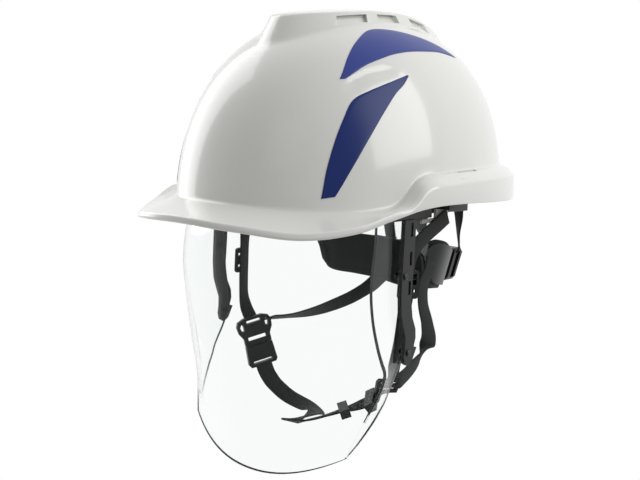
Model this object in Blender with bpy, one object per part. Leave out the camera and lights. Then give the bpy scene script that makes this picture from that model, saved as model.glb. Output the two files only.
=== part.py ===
"""Hard hat with a clear face shield, ratchet headband and four-point chin strap.

All dimensions are in millimetres and are turned into metres when a mesh is made.
The hat faces -Y, the wearer's left is +X, and the origin is the middle of the shell's rim plane.
"""
import math

import bmesh
import bpy
from mathutils import Vector

MM = 0.001
GAP = 0.35

# ------------------------------------------------------------------ shell
DOME_HALF_WIDTH = 103.5
DOME_FRONT = 123.5
DOME_REAR = 128.5
DOME_HEIGHT = 138.0
DOME_WALL = 2.6
UPRIGHT_POWER = (2.23, 2.57)      # roundness of the side outline, at the front and at the rear
PLAN_POWER = (2.1, 2.34)          # roundness of the plan outline, front half and rear half
BRIM_HALF_WIDTH = 113.5
BRIM_FRONT = 154.0
BRIM_REAR = 141.0
BRIM_POWER = 2.25
BRIM_EDGE = 4.5
SHOULDER_DROP = 5.5               # the shoulder's outer corner lies this far below its inner line
TURN_STEPS = 72
DOME_ROWS = 11
# angle from the front in degrees, height in mm
RIM_HEIGHT = ((0, 1.0), (16, -0.9), (31, -4.0), (45, 0.1), (54, 6.5), (66, 13.0), (80, 15.0),
              (110, 13.5), (152, 10.2), (180, 8.9))
FOOT_HEIGHT = ((0, 12.4), (28, 10.8), (41, 10.7), (52, 11.5), (59, 15.0), (68, 31.5), (80, 34.6),
               (105, 36.4), (150, 35.8), (180, 35.5))
SHOULDER_START = 56.0             # the brim turns into the raised shoulder between these angles
SHOULDER_FULL = 67.0

# ------------------------------------------------------------------ crown ridge
# plan outline of the ridge's foot and of its top edge: half-width, front depth, rear depth
RIDGE_FOOT = (42.5, 77.0, 114.0)
RIDGE_EDGE = (37.0, 67.5, 106.0)
RIDGE_POWER = (1.85, 2.9)
RIDGE_RISE = ((-70, 12.8), (-66, 12.2), (-57, 10.4), (-48, 8.8), (-33, 7.4), (-18, 7.2), (0, 7.2), (45, 7.1),
              (65, 6.8), (80, 6.2), (94, 4.8), (106, 2.6))
RIDGE_CROWN = 2.2                 # the ridge's middle stands this far above its two edges
RIDGE_SINK = 1.4
RIDGE_STATIONS = 12
POCKETS = ((-45, -22), (-12, 9), (25, 46))
POCKET_DEPTH = 4.0
POCKET_HEIGHT = 4.4

# ------------------------------------------------------------------ accessory sockets
SOCKET_MID_Y = 6.0
SOCKET_SIZE = (9.0, 28.0, 14.0)
SOCKET_MID = (106.0, 24.5)
SLOT_SIZE = (2.6, 22.0)
SLOT_X = 104.2

# ------------------------------------------------------------------ face shield
VISOR_PIVOT = (0.0, 80.0, -50.0)
LENS_THICK = 2.0
LENS_ROWS = 15
LENS_HALF_COLUMNS = 8
LENS_TOP = 1.0
LENS_BOTTOM = -174.0
LENS_BOW = 2.1                    # power of the front's curve from midline to fold
LENS_MIDLINE = ((-174, -87.0), (-140, -95.5), (-100, -102.0), (-50, -105.5), (5, -106.0))
# folds between the front and the side panels, and the panels' rear edges: x, y, z
LENS_FOLD = ((86.4, -65.8, 3), (88, -68, -12), (88.2, -70.3, -28), (88.5, -70.8, -43), (89, -68.2, -60),
             (90.5, -64.3, -76), (91.8, -61, -86), (92.6, -58, -94), (90, -58, -104), (86, -59.3, -114),
             (82, -61.5, -124), (78.5, -63.8, -133), (74.8, -66.6, -143), (71, -69.9, -153))
LENS_EDGE = ((84, -33, 3), (84.1, -32.5, -20), (84.3, -33, -43), (84.5, -31, -60), (84.8, -29, -76),
             (84.8, -30.5, -88), (84.6, -33.5, -96), (84.2, -41.5, -109), (83.5, -45.4, -117),
             (82.6, -49.5, -123), (81.4, -53.6, -129), (79.0, -59.3, -137), (75.6, -64.4, -145),
             (71.6, -69.4, -152.4))
ARM_INNER = 86.2
ARM_OUTER = 89.4
ARM_OUTLINE = ((-39.8, 4), (-40, -6), (-40.5, -25), (-40.8, -45), (-39.8, -58), (-37.1, -66),
               (-34, -74), (-34, -82), (-34.8, -87), (-33.3, -92), (-29.8, -94), (-25.3, -91),
               (-20.8, -82.6), (-24.1, -81.4), (-22.4, -76), (-23, -69.5), (-27, -61.5), (-29.4, -49),
               (-28.4, -30), (-27.8, -6), (-27.8, 4))
ARM_SLOTS = (-2.5, -21.5, -41.0)
ARM_SLOT_Y = -32.0
ARM_SLOT_SIZE = (2.4, 9.0)
RIVETS = ((-37.2, -33.0), (-30.2, -85.0))
RIVET_HEAD = 2.2
RIVET_PIN = 1.2
GUIDE_X = 79.0

# ------------------------------------------------------------------ headband and crown cradle
BAND_THICK = 1.8
BAND_PATH = ((73.5, 56, 0), (75.3, 32, 0), (75.9, 6, 0), (74.4, -20, 0), (60, -54, 0), (34, -79, 0),
             (0, -86, 0))
BAND_LOW = 3.0
BAND_HIGH = 27.0
SWEAT_THICK = 3.0
STRAP_THICK = 1.3
CROWN_HEIGHT = 101.0
REAR_KEY = (49.0, 99.0, 17.0)
SIDE_KEY_X = 79.0
SIDE_KEY_THICK = 1.9
SIDE_KEY_OUTLINE = ((-9, -1.3), (20, -1.3), (22, 0.7), (22, 13.5), (20, 15), (9, 15), (7, 13), (7, 1.5),
                    (-9, 1.5))

# ------------------------------------------------------------------ nape cradle and ratchet
NAPE_PIVOT = (0.0, 116.0, -48.8)
NAPE_PATH = ((50, 38), (53, 58), (45.5, 80), (33, 98), (14, 106.5), (0, 107.5))
# edge heights along the pad: 0 at the rear middle, 1 at the front tips
NAPE_TOP = ((0, -34.0), (0.2, -34.0), (0.4, -31.5), (0.6, -28.5), (0.8, -22.0), (0.93, -20.5), (1, -25.0))
NAPE_LOW = ((0, -70.0), (0.2, -69.0), (0.4, -65.0), (0.6, -61.0), (0.8, -56.5), (0.9, -50.0), (1, -33.0))
NAPE_LEAN = 0.0028                # the pad draws in by this share for each mm below its top
CRADLE_THICK = 2.2
NAPE_PAD_THICK = 5.0
HOUSING_HALF_WIDTHS = (26.0, 31.5)
HOUSING_DEEP = 11.0
HOUSING_TALL = 26.8
KNOB_RADIUS = 14.5
KNOB_LENGTH = 11.0
KNOB_RIBS = 16
RACK_REACH = (-9.0, 29.0)
RACK_BAR = (6.9, 10.2)
RACK_THICK = 3.2
TOOTH_PITCH = 3.55
PINION_RADII = (4.9, 6.4)
ARM_HEIGHT = 9.0
ARM_THICK = 1.5

# ------------------------------------------------------------------ chin strap
WEB_THICK = 1.4
WEB_WIDE = 15.0
WEB_NARROW = 11.5
BUCKLE_TOP = Vector((-66.0, -19.0, -90.0))
BUCKLE_ACROSS = Vector((0.5, 0.866, -0.10)).normalized()
BUCKLE_DOWN = Vector((0.165, 0.20, -0.966)).normalized()
BUCKLE_THICK = 4.0


# ================================================================== helpers
def clear_scene():
    for thing in list(bpy.data.objects):
        bpy.data.objects.remove(thing)


def material(name, colour, roughness, metallic=0.0, transmission=0.0):
    made = bpy.data.materials.new(name)
    made.use_nodes = True
    shader = made.node_tree.nodes["Principled BSDF"]
    shader.inputs["Base Color"].default_value = (*colour, 1.0)
    shader.inputs["Roughness"].default_value = roughness
    shader.inputs["Metallic"].default_value = metallic
    shader.inputs["Transmission Weight"].default_value = transmission
    return made


def add_object(name, points, faces, finish, sharp=35):
    """A mesh object from points in millimetres, with its faces turned outwards."""
    mesh = bpy.data.meshes.new(name)
    mesh.from_pydata([[c * MM for c in p] for p in points], [], faces)
    work = bmesh.new()
    work.from_mesh(mesh)
    bmesh.ops.remove_doubles(work, verts=work.verts, dist=1e-6)
    bmesh.ops.recalc_face_normals(work, faces=work.faces)
    work.to_mesh(mesh)
    work.free()
    mesh.shade_smooth()
    mesh.set_sharp_from_angle(angle=math.radians(sharp))
    made = bpy.data.objects.new(name, mesh)
    bpy.context.collection.objects.link(made)
    mesh.materials.append(finish)
    return made


def pivot(name, place):
    empty = bpy.data.objects.new(name, None)
    empty.location = [c * MM for c in place]
    bpy.context.collection.objects.link(empty)
    return empty


def hang(thing, parent):
    """Parent a piece modelled in world coordinates to an empty on its joint's axis."""
    thing.parent = parent
    thing.location = -parent.location


def combine(target, tool, operation):
    """Join or cut with an exact Boolean and drop the tool."""
    step = target.modifiers.new(operation.lower(), "BOOLEAN")
    step.operation = operation
    step.solver = "EXACT"
    step.object = tool
    bpy.context.view_layer.update()
    solved = target.evaluated_get(bpy.context.evaluated_depsgraph_get())
    mesh = bpy.data.meshes.new_from_object(solved)
    target.modifiers.clear()
    target.data = mesh
    bpy.data.objects.remove(tool)


def table(keys, value):
    """Smooth reading of (key, value) pairs, with slopes from the neighbouring keys."""
    if value <= keys[0][0]:
        return keys[0][1]
    if value >= keys[-1][0]:
        return keys[-1][1]
    index = max(i for i in range(len(keys) - 1) if keys[i][0] <= value)
    x0, y0 = keys[index]
    x1, y1 = keys[index + 1]

    def slope(i):
        low, high = keys[max(i - 1, 0)], keys[min(i + 1, len(keys) - 1)]
        return (high[1] - low[1]) / (high[0] - low[0])
    span = x1 - x0
    t = (value - x0) / span
    m0, m1 = slope(index) * span, slope(index + 1) * span
    if index == 0:
        m0 = 0.0
    if index == len(keys) - 2:
        m1 = 0.0
    return ((2 * t ** 3 - 3 * t ** 2 + 1) * y0 + (t ** 3 - 2 * t ** 2 + t) * m0
            + (3 * t ** 2 - 2 * t ** 3) * y1 + (t ** 3 - t ** 2) * m1)


def spline(points, steps):
    """Catmull-Rom curve through points of any dimension."""
    rows = [Vector(p) for p in points]
    rows = [2 * rows[0] - rows[1]] + rows + [2 * rows[-1] - rows[-2]]
    out = []
    for i in range(1, len(rows) - 2):
        a, b, c, d = rows[i - 1:i + 3]
        for k in range(steps):
            t = k / steps
            out.append(0.5 * (2 * b + (c - a) * t + (2 * a - 5 * b + 4 * c - d) * t * t
                              + (3 * b - a - 3 * c + d) * t ** 3))
    out.append(rows[-2].copy())
    return out


def loft(name, rings, finish, closed=False, sharp=35):
    """Skin equal rings of points; the ends are capped unless the loft closes on itself."""
    count = len(rings[0])
    points = [p for ring in rings for p in ring]
    faces = []
    for i in range(len(rings) if closed else len(rings) - 1):
        a, b = i * count, ((i + 1) % len(rings)) * count
        for k in range(count):
            n = (k + 1) % count
            faces.append((a + k, a + n, b + n, b + k))
    if not closed:
        faces.append(tuple(range(count)))
        faces.append(tuple(range(len(points) - count, len(points))))
    return add_object(name, points, faces, finish, sharp)


def ribbon(name, route, width, finish, thick=WEB_THICK, steps=5, closed=False):
    """Flat webbing along a route of (x, y, z, side x, side y, side z) points."""
    fine = spline_wide(route, steps)
    rings = []
    for i, (place, side) in enumerate(fine):
        before, after = fine[max(i - 1, 0)][0], fine[min(i + 1, len(fine) - 1)][0]
        run = (after - before).normalized()
        across = (side - side.dot(run) * run).normalized()
        out = run.cross(across) * (thick / 2)
        half = across * (width / 2)
        rings.append([place - half - out, place + half - out, place + half + out, place - half + out])
    return loft(name, rings, finish, closed)


def mirrored_route(route):
    return tuple((-a, b, c, -d, e, f) for a, b, c, d, e, f in route)


def spline_wide(route, steps):
    places = spline([p[:3] for p in route], steps)
    sides = spline([p[3:] for p in route], steps)
    return list(zip(places, sides))


def wall(name, path, low, high, outset, thick, finish, round_edge=0.0, lean=0.0, sharp=35):
    """An upright band along a plan path, between two heights; heights and edges may vary along it."""
    rings = []
    for i, place in enumerate(path):
        before, after = path[max(i - 1, 0)], path[min(i + 1, len(path) - 1)]
        run = Vector((after[0] - before[0], after[1] - before[1])).normalized()
        out = Vector((run.y, -run.x))
        if out.dot(Vector((place[0], place[1]))) < 0:
            out = -out
        share = i / (len(path) - 1)
        z0 = low(share) if callable(low) else low
        z1 = high(share) if callable(high) else high
        near, far = outset, outset + thick
        ends = [(near, z0 + round_edge), (near + round_edge, z0), (far - round_edge, z0),
                (far, z0 + round_edge), (far, z1 - round_edge), (far - round_edge, z1),
                (near + round_edge, z1), (near, z1 - round_edge)]
        if not round_edge:
            ends = [(near, z0), (far, z0), (far, z1), (near, z1)]
        draw = [1 - lean * (NAPE_TOP[0][1] - z) for d, z in ends]
        rings.append([((place[0] + out.x * d) * f, (place[1] + out.y * d) * f, z)
                      for (d, z), f in zip(ends, draw)])
    return loft(name, rings, finish, sharp=sharp)


def block(name, centre, size, finish, axes=None, corner=0.0):
    """A box with its upright edges cut off by corner; axes are its three directions."""
    u, v, w = axes or (Vector((1, 0, 0)), Vector((0, 1, 0)), Vector((0, 0, 1)))
    hx, hy, hz = (s / 2 for s in size)
    c = corner
    outline = [(-hx, -hy), (hx, -hy), (hx, hy), (-hx, hy)]
    if c:
        outline = [(-hx + c, -hy), (hx - c, -hy), (hx, -hy + c), (hx, hy - c),
                   (hx - c, hy), (-hx + c, hy), (-hx, hy - c), (-hx, -hy + c)]
    place = Vector(centre)
    rings = [[place + u * a + v * b + w * h for a, b in outline] for h in (-hz, hz)]
    return loft(name, rings, finish)


def slab(name, outline, origin, u, v, w, thick, finish):
    """A flat plate with an outline in the plane of u and v, thick along w."""
    base = Vector(origin)
    rings = [[base + u * a + v * b + w * h for a, b in outline] for h in (0.0, thick)]
    return loft(name, rings, finish)


def round_bar(name, rings, axis_point, finish, steps=24, turn_axis="Y", sharp=35):
    """A turned piece from (distance along the axis, radius) pairs, capped at both ends."""
    loops = []
    for along, radius in rings:
        loop = []
        for k in range(steps):
            a = 2 * math.pi * k / steps
            c, s = radius * math.cos(a), radius * math.sin(a)
            if turn_axis == "Y":
                loop.append((axis_point[0] + c, axis_point[1] + along, axis_point[2] + s))
            else:
                loop.append((axis_point[0] + along, axis_point[1] + c, axis_point[2] + s))
        loops.append(loop)
    return loft(name, loops, finish, sharp=sharp)


# ================================================================== shell
def plan_radius(angle, half_width, front, rear, powers):
    c, s = abs(math.cos(angle)), math.sin(angle)
    power = powers[0] if s < 0 else powers[1]
    depth = front if s < 0 else rear
    return ((c / half_width) ** power + (abs(s) / depth) ** power) ** (-1 / power)


def upright_power(angle):
    return UPRIGHT_POWER[0] + (UPRIGHT_POWER[1] - UPRIGHT_POWER[0]) * (1 + math.sin(angle)) / 2


def dome_scale(height, angle, shrink=0.0):
    power = upright_power(angle)
    top = DOME_HEIGHT - shrink
    return max(1 - (max(height, 0) / top) ** power, 0.0) ** (1 / power)


def dome_reach(height, angle, shrink=0.0):
    """Distance from the upright axis to the dome in a direction, at a height."""
    flat = plan_radius(angle, DOME_HALF_WIDTH - shrink, DOME_FRONT - shrink, DOME_REAR - shrink, PLAN_POWER)
    return flat * dome_scale(height, angle, shrink)


def dome_height(x, y, shrink=0.0):
    angle = math.atan2(y, x)
    flat = plan_radius(angle, DOME_HALF_WIDTH - shrink, DOME_FRONT - shrink, DOME_REAR - shrink, PLAN_POWER)
    share = min(math.hypot(x, y) / flat, 1.0)
    power = upright_power(angle)
    return (DOME_HEIGHT - shrink) * (1 - share ** power) ** (1 / power)


def dome_side(y, z, proud):
    """The dome's x at a place on its left side, and the point moved out by proud."""
    low, high = 1.0, DOME_HALF_WIDTH
    for _ in range(40):
        x = (low + high) / 2
        if math.hypot(x, y) < dome_reach(z, math.atan2(y, x)):
            low = x
        else:
            high = x
    step = 0.5
    slope_z = dome_gap(low, y, z + step) - dome_gap(low, y, z - step)
    slope_y = dome_gap(low, y + step, z) - dome_gap(low, y - step, z)
    slope_x = dome_gap(low + step, y, z) - dome_gap(low - step, y, z)
    normal = Vector((slope_x, slope_y, slope_z)).normalized()
    return Vector((low, y, z)) + normal * proud


def dome_gap(x, y, z):
    return math.hypot(x, y) - dome_reach(z, math.atan2(y, x))


def ease(value, low, high):
    t = min(max((value - low) / (high - low), 0.0), 1.0)
    return t * t * (3 - 2 * t)


def mix(a, b, t):
    return (a[0] + (b[0] - a[0]) * t, a[1] + (b[1] - a[1]) * t)


def rim_section(angle, from_front):
    """Brim or shoulder section as (reach, height): outside going down, then inside going up."""
    foot = table(FOOT_HEIGHT, from_front)
    rim = table(RIM_HEIGHT, from_front)
    edge = plan_radius(angle, BRIM_HALF_WIDTH, BRIM_FRONT, BRIM_REAR, (BRIM_POWER, BRIM_POWER))
    reach = dome_reach(foot, angle)
    corner = foot - SHOULDER_DROP
    inner_reach = dome_reach(foot - 3.0, angle, DOME_WALL)
    lip = rim + BRIM_EDGE
    brim = [(reach + (edge - reach) * 0.45, foot + (lip - foot) * 0.52),
            (reach + (edge - reach) * 0.88, foot + (lip - foot) * 0.92),
            (edge - 0.6, lip), (edge, rim + 1.5), (edge - 0.8, rim), (edge - 3.0, rim),
            (edge - 4.5, rim + 1.2), (inner_reach + 3.0, foot - 4.2), (inner_reach, foot - 3.2)]
    shoulder = [(reach + 3.0, foot - 0.4),
                (edge - 3.2, corner + 1.6), (edge - 0.4, corner - 1.2), (edge, (corner + rim) / 2),
                (edge - 0.2, rim), (edge - 2.6, rim), (edge - 2.6, (corner + rim) / 2),
                (edge - 4.0, corner - 2.0), (inner_reach, foot - 3.2)]
    weight = ease(from_front, SHOULDER_START, SHOULDER_FULL)
    return [mix(a, b, weight) for a, b in zip(brim, shoulder)], foot


def shell_point(angle, reach, height):
    return (reach * math.cos(angle), reach * math.sin(angle), height)


def dome_rows(angle, stop, rows, shrink):
    """Points from just below the crown down to a stop height."""
    power = upright_power(angle)
    top = DOME_HEIGHT - shrink
    last = math.acos(min((stop / top) ** (power / 2), 1.0))
    out = []
    for k in range(1, rows + 1):
        height = top * math.cos(last * k / rows) ** (2 / power)
        out.append((dome_reach(height, angle, shrink), height))
    return out


def shell_skin(steps, rows):
    """Closed points and faces of the dome with its brim and shoulder."""
    columns = []
    for k in range(steps):
        angle = 2 * math.pi * k / steps - math.pi / 2
        from_front = abs((math.degrees(angle + math.pi / 2) + 180) % 360 - 180)
        rim, foot = rim_section(angle, from_front)
        outer = dome_rows(angle, foot, rows, 0.0)
        inner = dome_rows(angle, foot - 3.0, rows, DOME_WALL)
        inner[-1] = rim[-1]
        section = outer + rim[:-1] + inner[::-1]
        columns.append([shell_point(angle, r, z) for r, z in section])
    count = len(columns[0])
    points = [p for column in columns for p in column]
    points += [(0, 0, DOME_HEIGHT), (0, 0, DOME_HEIGHT - DOME_WALL)]
    crown, ceiling = len(points) - 2, len(points) - 1
    faces = []
    for k in range(steps):
        a, b = k * count, ((k + 1) % steps) * count
        faces.append((crown, a, b))
        for i in range(count - 1):
            faces.append((a + i, a + i + 1, b + i + 1, b + i))
        faces.append((a + count - 1, ceiling, b + count - 1))
    return points, faces


def outline_point(outline, turn):
    """Point of a rounded outline; turn runs from 0 at the front to 180 at the rear."""
    width, front, rear = outline
    a = math.radians(turn)
    power = RIDGE_POWER[0] if turn < 90 else RIDGE_POWER[1]
    depth = front if turn < 90 else rear
    along = math.copysign(abs(math.cos(a)) ** (2 / power), -math.cos(a))
    return width * math.sin(a) ** (2 / power), depth * along


def outline_width(outline, y):
    width, front, rear = outline
    power = RIDGE_POWER[0] if y < 0 else RIDGE_POWER[1]
    depth = front if y < 0 else rear
    return width * (1 - (abs(y) / depth) ** power) ** (1 / power)


def ridge_solid(finish):
    rings = []
    spread = [-1, -0.72, -0.38, 0, 0.38, 0.72, 1]
    for k in range(1, 2 * RIDGE_STATIONS):
        turn = 90 * k / RIDGE_STATIONS
        foot_x, foot_y = outline_point(RIDGE_FOOT, turn)
        edge_x, edge_y = outline_point(RIDGE_EDGE, turn)
        ring = [(foot_x * t, foot_y, dome_height(foot_x * t, foot_y) - RIDGE_SINK) for t in spread]
        top = dome_height(edge_x, edge_y) + table(RIDGE_RISE, edge_y)
        for t in reversed(spread):
            crown = RIDGE_CROWN * (1 - t * t) * min(1.0, edge_x / RIDGE_EDGE[0])
            ring.append((edge_x * t, edge_y, top + crown))
        rings.append(ring)
    return loft("ridge", rings, finish)


def pocket_cutters(finish):
    cutters = []
    for side in (1, -1):
        for start, stop in POCKETS:
            ends = []
            for y in (start, stop):
                x = (outline_width(RIDGE_FOOT, y) + outline_width(RIDGE_EDGE, y)) / 2
                ends.append(Vector((side * x, y, dome_height(x, y) + 0.55 * table(RIDGE_RISE, y))))
            along = (ends[1] - ends[0]).normalized()
            lean = Vector((side, 0, 0.2))
            lean = (lean - lean.dot(along) * along).normalized()
            size = (2 * POCKET_DEPTH, (ends[1] - ends[0]).length, POCKET_HEIGHT)
            centre = ends[0].lerp(ends[1], 0.5)
            cutters.append(block("pocket", centre, size, finish, (lean, along, lean.cross(along))))
    return cutters


def build_shell(finish):
    points, faces = shell_skin(TURN_STEPS, DOME_ROWS)
    shell = add_object("shell", points, faces, finish, 40)
    combine(shell, ridge_solid(finish), "UNION")
    for cutter in pocket_cutters(finish):
        combine(shell, cutter, "DIFFERENCE")
    for side in (1, -1):
        centre = (side * SOCKET_MID[0], SOCKET_MID_Y, SOCKET_MID[1])
        combine(shell, block("socket", centre, SOCKET_SIZE, finish), "UNION")
    for side in (1, -1):
        size = (SLOT_SIZE[0], SLOT_SIZE[1], 60)
        combine(shell, block("slot", (side * SLOT_X, SOCKET_MID_Y, 30), size, finish), "DIFFERENCE")
    return shell


# ================================================================== decals
UPPER_TOP = ((-73, 92), (-61, 105.5), (-48.7, 115.2), (-34, 122.8), (-14, 126.2), (6, 124.2), (25, 119.0),
             (41, 111.6))
UPPER_LOW = ((-70, 92.4), (-56, 100.6), (-44, 105.4), (-30, 109.6), (-14, 112.2), (2, 113.2), (20, 113.6),
             (41.8, 111.2))
LOWER_LEFT = ((-30, 96.3), (-45, 91.3), (-60, 85.6), (-72, 79.2), (-80.6, 67), (-87.7, 53), (-93.4, 36.5),
              (-96.6, 21.5))
LOWER_RIGHT = ((-28.8, 95.9), (-36, 90), (-44.6, 84), (-53, 76), (-61.5, 66.5), (-72.1, 52.4), (-82.3, 36),
               (-89.5, 23.6))


def decal(name, one_edge, other_edge, side, finish):
    """A thin skin laid on the dome between two edges given as (y, z) points."""
    first, second = spline(one_edge, 2), spline(other_edge, 2)
    across = 4
    base, proud = [], []
    for a, b in zip(first, second):
        for k in range(across + 1):
            y, z = a.lerp(b, k / across)
            for store, lift in ((base, 0.5), (proud, 0.9)):
                p = dome_side(y, z, lift)
                store.append((side * p.x, p.y, p.z))
    return sheet_solid(name, base, proud, len(first), across + 1, finish)


def sheet_solid(name, base, proud, rows, columns, finish, sharp=50):
    points = base + proud
    half = rows * columns
    faces = []
    for r in range(rows - 1):
        for c in range(columns - 1):
            i = r * columns + c
            faces.append((i, i + 1, i + 1 + columns, i + columns))
            faces.append((half + i, half + i + columns, half + i + 1 + columns, half + i + 1))
    border = [r * columns for r in range(rows)]
    border += [(rows - 1) * columns + c for c in range(1, columns)]
    border += [r * columns + columns - 1 for r in range(rows - 2, -1, -1)]
    border += [c for c in range(columns - 2, 0, -1)]
    for a, b in zip(border, border[1:] + border[:1]):
        faces.append((a, b, half + b, half + a))
    return add_object(name, points, faces, finish, sharp)


# ================================================================== face shield
def lens_rows():
    """Rows of points from the left panel's rear edge round the front to the right one's."""
    folds = spline(LENS_FOLD, 6)
    edges = spline(LENS_EDGE, 6)
    rows = []
    for r in range(LENS_ROWS + 1):
        share = r / LENS_ROWS
        index = min(round(share * (len(folds) - 1)), len(folds) - 1)
        fold, edge = folds[index], edges[index]
        height = LENS_TOP + (LENS_BOTTOM - LENS_TOP) * share
        middle = (table(LENS_MIDLINE, height), height)
        half = [edge, edge.lerp(fold, 0.5)]
        for k in range(LENS_HALF_COLUMNS + 1):
            u = 1 - k / LENS_HALF_COLUMNS
            bend = u ** LENS_BOW
            half.append(Vector((fold.x * u, middle[0] + (fold.y - middle[0]) * bend,
                                middle[1] + (fold.z - middle[1]) * bend)))
        other = [Vector((-p.x, p.y, p.z)) for p in half[-2::-1]]
        rows.append(half + other)
    return rows


def row_normals(rows):
    out = []
    for r, row in enumerate(rows):
        above, below = rows[max(r - 1, 0)], rows[min(r + 1, len(rows) - 1)]
        line = []
        for c in range(len(row)):
            left, right = row[max(c - 1, 0)], row[min(c + 1, len(row) - 1)]
            line.append((right - left).cross(below[c] - above[c]).normalized())
        out.append(line)
    return out


def build_lens(finish):
    rows = lens_rows()
    normals = row_normals(rows)
    columns = len(rows[0])
    outside, inside = [], []
    for row, line in zip(rows, normals):
        for point, normal in zip(row, line):
            away = normal if normal.dot(Vector((point.x, point.y + 40, 0))) > 0 else -normal
            outside.append(tuple(point))
            inside.append(tuple(point - away * LENS_THICK))
    lens = sheet_solid("visor_lens", inside, outside, len(rows), columns, finish, 20)
    for side in (1, -1):
        for y, z in RIVETS:
            combine(lens, rivet_bore(side, y, z, finish), "DIFFERENCE")
    return lens


def rivet_bore(side, y, z, finish):
    rings = [(-20, RIVET_PIN + GAP), (20, RIVET_PIN + GAP)]
    return round_bar("bore", rings, (side * ARM_INNER, y, z), finish, 12, "X")


def build_arm(name, side, finish):
    outline = [(y, z) for y, z in ARM_OUTLINE]
    start = (ARM_INNER * side, 0, 0)
    out = Vector((side, 0, 0))
    arm = slab(name, outline, start, Vector((0, 1, 0)), Vector((0, 0, 1)), out,
               ARM_OUTER - ARM_INNER, finish)
    for z in ARM_SLOTS:
        size = (12, *ARM_SLOT_SIZE)
        combine(arm, block("slot", (side * ARM_INNER, ARM_SLOT_Y, z), size, finish), "DIFFERENCE")
    for y, z in RIVETS:
        combine(arm, rivet_bore(side, y, z, finish), "DIFFERENCE")
    return arm


def build_rivet(name, side, y, z, finish):
    """A pin with a flat head on each end, through the arm and the shield."""
    inner = lens_inner_face(z) - GAP
    outer = ARM_OUTER + GAP
    rings = [(inner - 0.9, RIVET_HEAD * 0.8), (inner - 0.5, RIVET_HEAD), (inner, RIVET_HEAD),
             (inner + 0.01, RIVET_PIN), (outer - 0.01, RIVET_PIN), (outer, RIVET_HEAD),
             (outer + 0.4, RIVET_HEAD), (outer + 0.8, RIVET_HEAD * 0.7)]
    rings = [(side * along, radius) for along, radius in rings]
    return round_bar(name, rings, (0, y, z), finish, 12, "X")


def lens_inner_face(z):
    nearest = min(LENS_EDGE, key=lambda p: abs(p[2] - z))
    return nearest[0] - LENS_THICK


def build_guide(name, side, finish):
    """Plate just inboard of the arm, with a block that reaches the shell behind it."""
    plate = block(name, (side * GUIDE_X, -18, 13), (1.6, 44, 22), finish)
    foot = block("foot", (side * (GUIDE_X + 9.2), 1.0, 15), (18.8, 6.6, 12), finish)
    combine(plate, foot, "UNION")
    return plate


# ================================================================== headband, cradle and pads
def band_plan():
    right = [(-x, y, z) for x, y, z in BAND_PATH[-2::-1]]
    return spline(list(BAND_PATH) + right, 4)


def band_low(share):
    return BAND_LOW + 3.0 * math.sin(math.pi * share)


def band_high(share):
    return BAND_HIGH - 5.0 * math.sin(math.pi * share) ** 2 - 6.0 * (abs(2 * share - 1)) ** 6


def nape_plan():
    right = [(-x, y) for x, y in NAPE_PATH[-2::-1]]
    return [(p.x, p.y) for p in spline(list(NAPE_PATH) + right, 4)]


def nape_top(share):
    return table(NAPE_TOP, abs(2 * share - 1))


def nape_low(share):
    return table(NAPE_LOW, abs(2 * share - 1))


def cradle_top(share):
    return nape_top(share) - 2.5


def cradle_low(share):
    return nape_low(share) + 2.5


def crown_strap_route(start, across, sag):
    """Over-the-head strap between two mirrored keys; sag leads its middle forward and down."""
    x0, y0, z0 = start
    rows = []
    for k in range(11):
        angle = math.pi * k / 10
        lift = math.sin(angle)
        x = x0 * math.cos(angle)
        z = z0 + (CROWN_HEIGHT - sag[1] - z0) * lift ** 0.72
        rows.append((x, y0 - sag[0] * lift ** 0.8, z, 0, *across))
    return rows


def build_side_key(name, side, finish):
    """Bracket below the visor guide, which holds the crown strap and the front strap."""
    return slab(name, SIDE_KEY_OUTLINE, (side * SIDE_KEY_X, 0, 0), Vector((0, 1, 0)), Vector((0, 0, 1)),
                Vector((side, 0, 0)), SIDE_KEY_THICK, finish)


def build_rear_key(name, side, finish):
    """A moulded tab with a cross slot for the strap."""
    x, y, z = REAR_KEY
    radial = Vector((side * x, y * 1.6, 0)).normalized()
    along = Vector((-radial.y, radial.x, 0))
    up = Vector((0, 0, 1))
    outline = [(-8, -7), (8, -7), (10, -4), (10, 6), (7, 13), (-7, 13), (-10, 6), (-10, -4)]
    base = Vector((side * x, y, z))
    tab = slab(name, outline, base, along, up, radial, 3.0, finish)
    slot = slab("slot", [(-6.8, -3.2), (6.8, -3.2), (6.8, -0.2), (-6.8, -0.2)], base - radial * 4,
                along, up, radial, 12, finish)
    combine(tab, slot, "DIFFERENCE")
    return tab


# ================================================================== ratchet
def build_knob(finish):
    """Ribbed knob with its shaft in one piece, on the ratchet's axis."""
    x, y, z = NAPE_PIVOT
    start = y + HOUSING_DEEP / 2 + 2 * GAP + 1.6
    steps = KNOB_RIBS * 3
    profile = [(start, 0.94), (start + 1.0, 1.0), (start + KNOB_LENGTH - 2.5, 0.95),
               (start + KNOB_LENGTH - 0.8, 0.88), (start + KNOB_LENGTH, 0.76)]
    loops = []
    for along, share in profile:
        loop = []
        for k in range(steps):
            a = 2 * math.pi * k / steps
            groove = 0.9 if k % 3 == 0 and along > start + 0.5 else 0.0
            radius = KNOB_RADIUS * share - groove
            loop.append((x + radius * math.cos(a), along, z + radius * math.sin(a)))
        loops.append(loop)
    knob = loft("ratchet_knob", loops, finish, sharp=50)
    shaft = round_bar("shaft", [(start - 7.5, 2.4), (start + 2.0, 2.4)], (x, 0, z), finish, 12)
    combine(knob, shaft, "UNION")
    return knob


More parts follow.
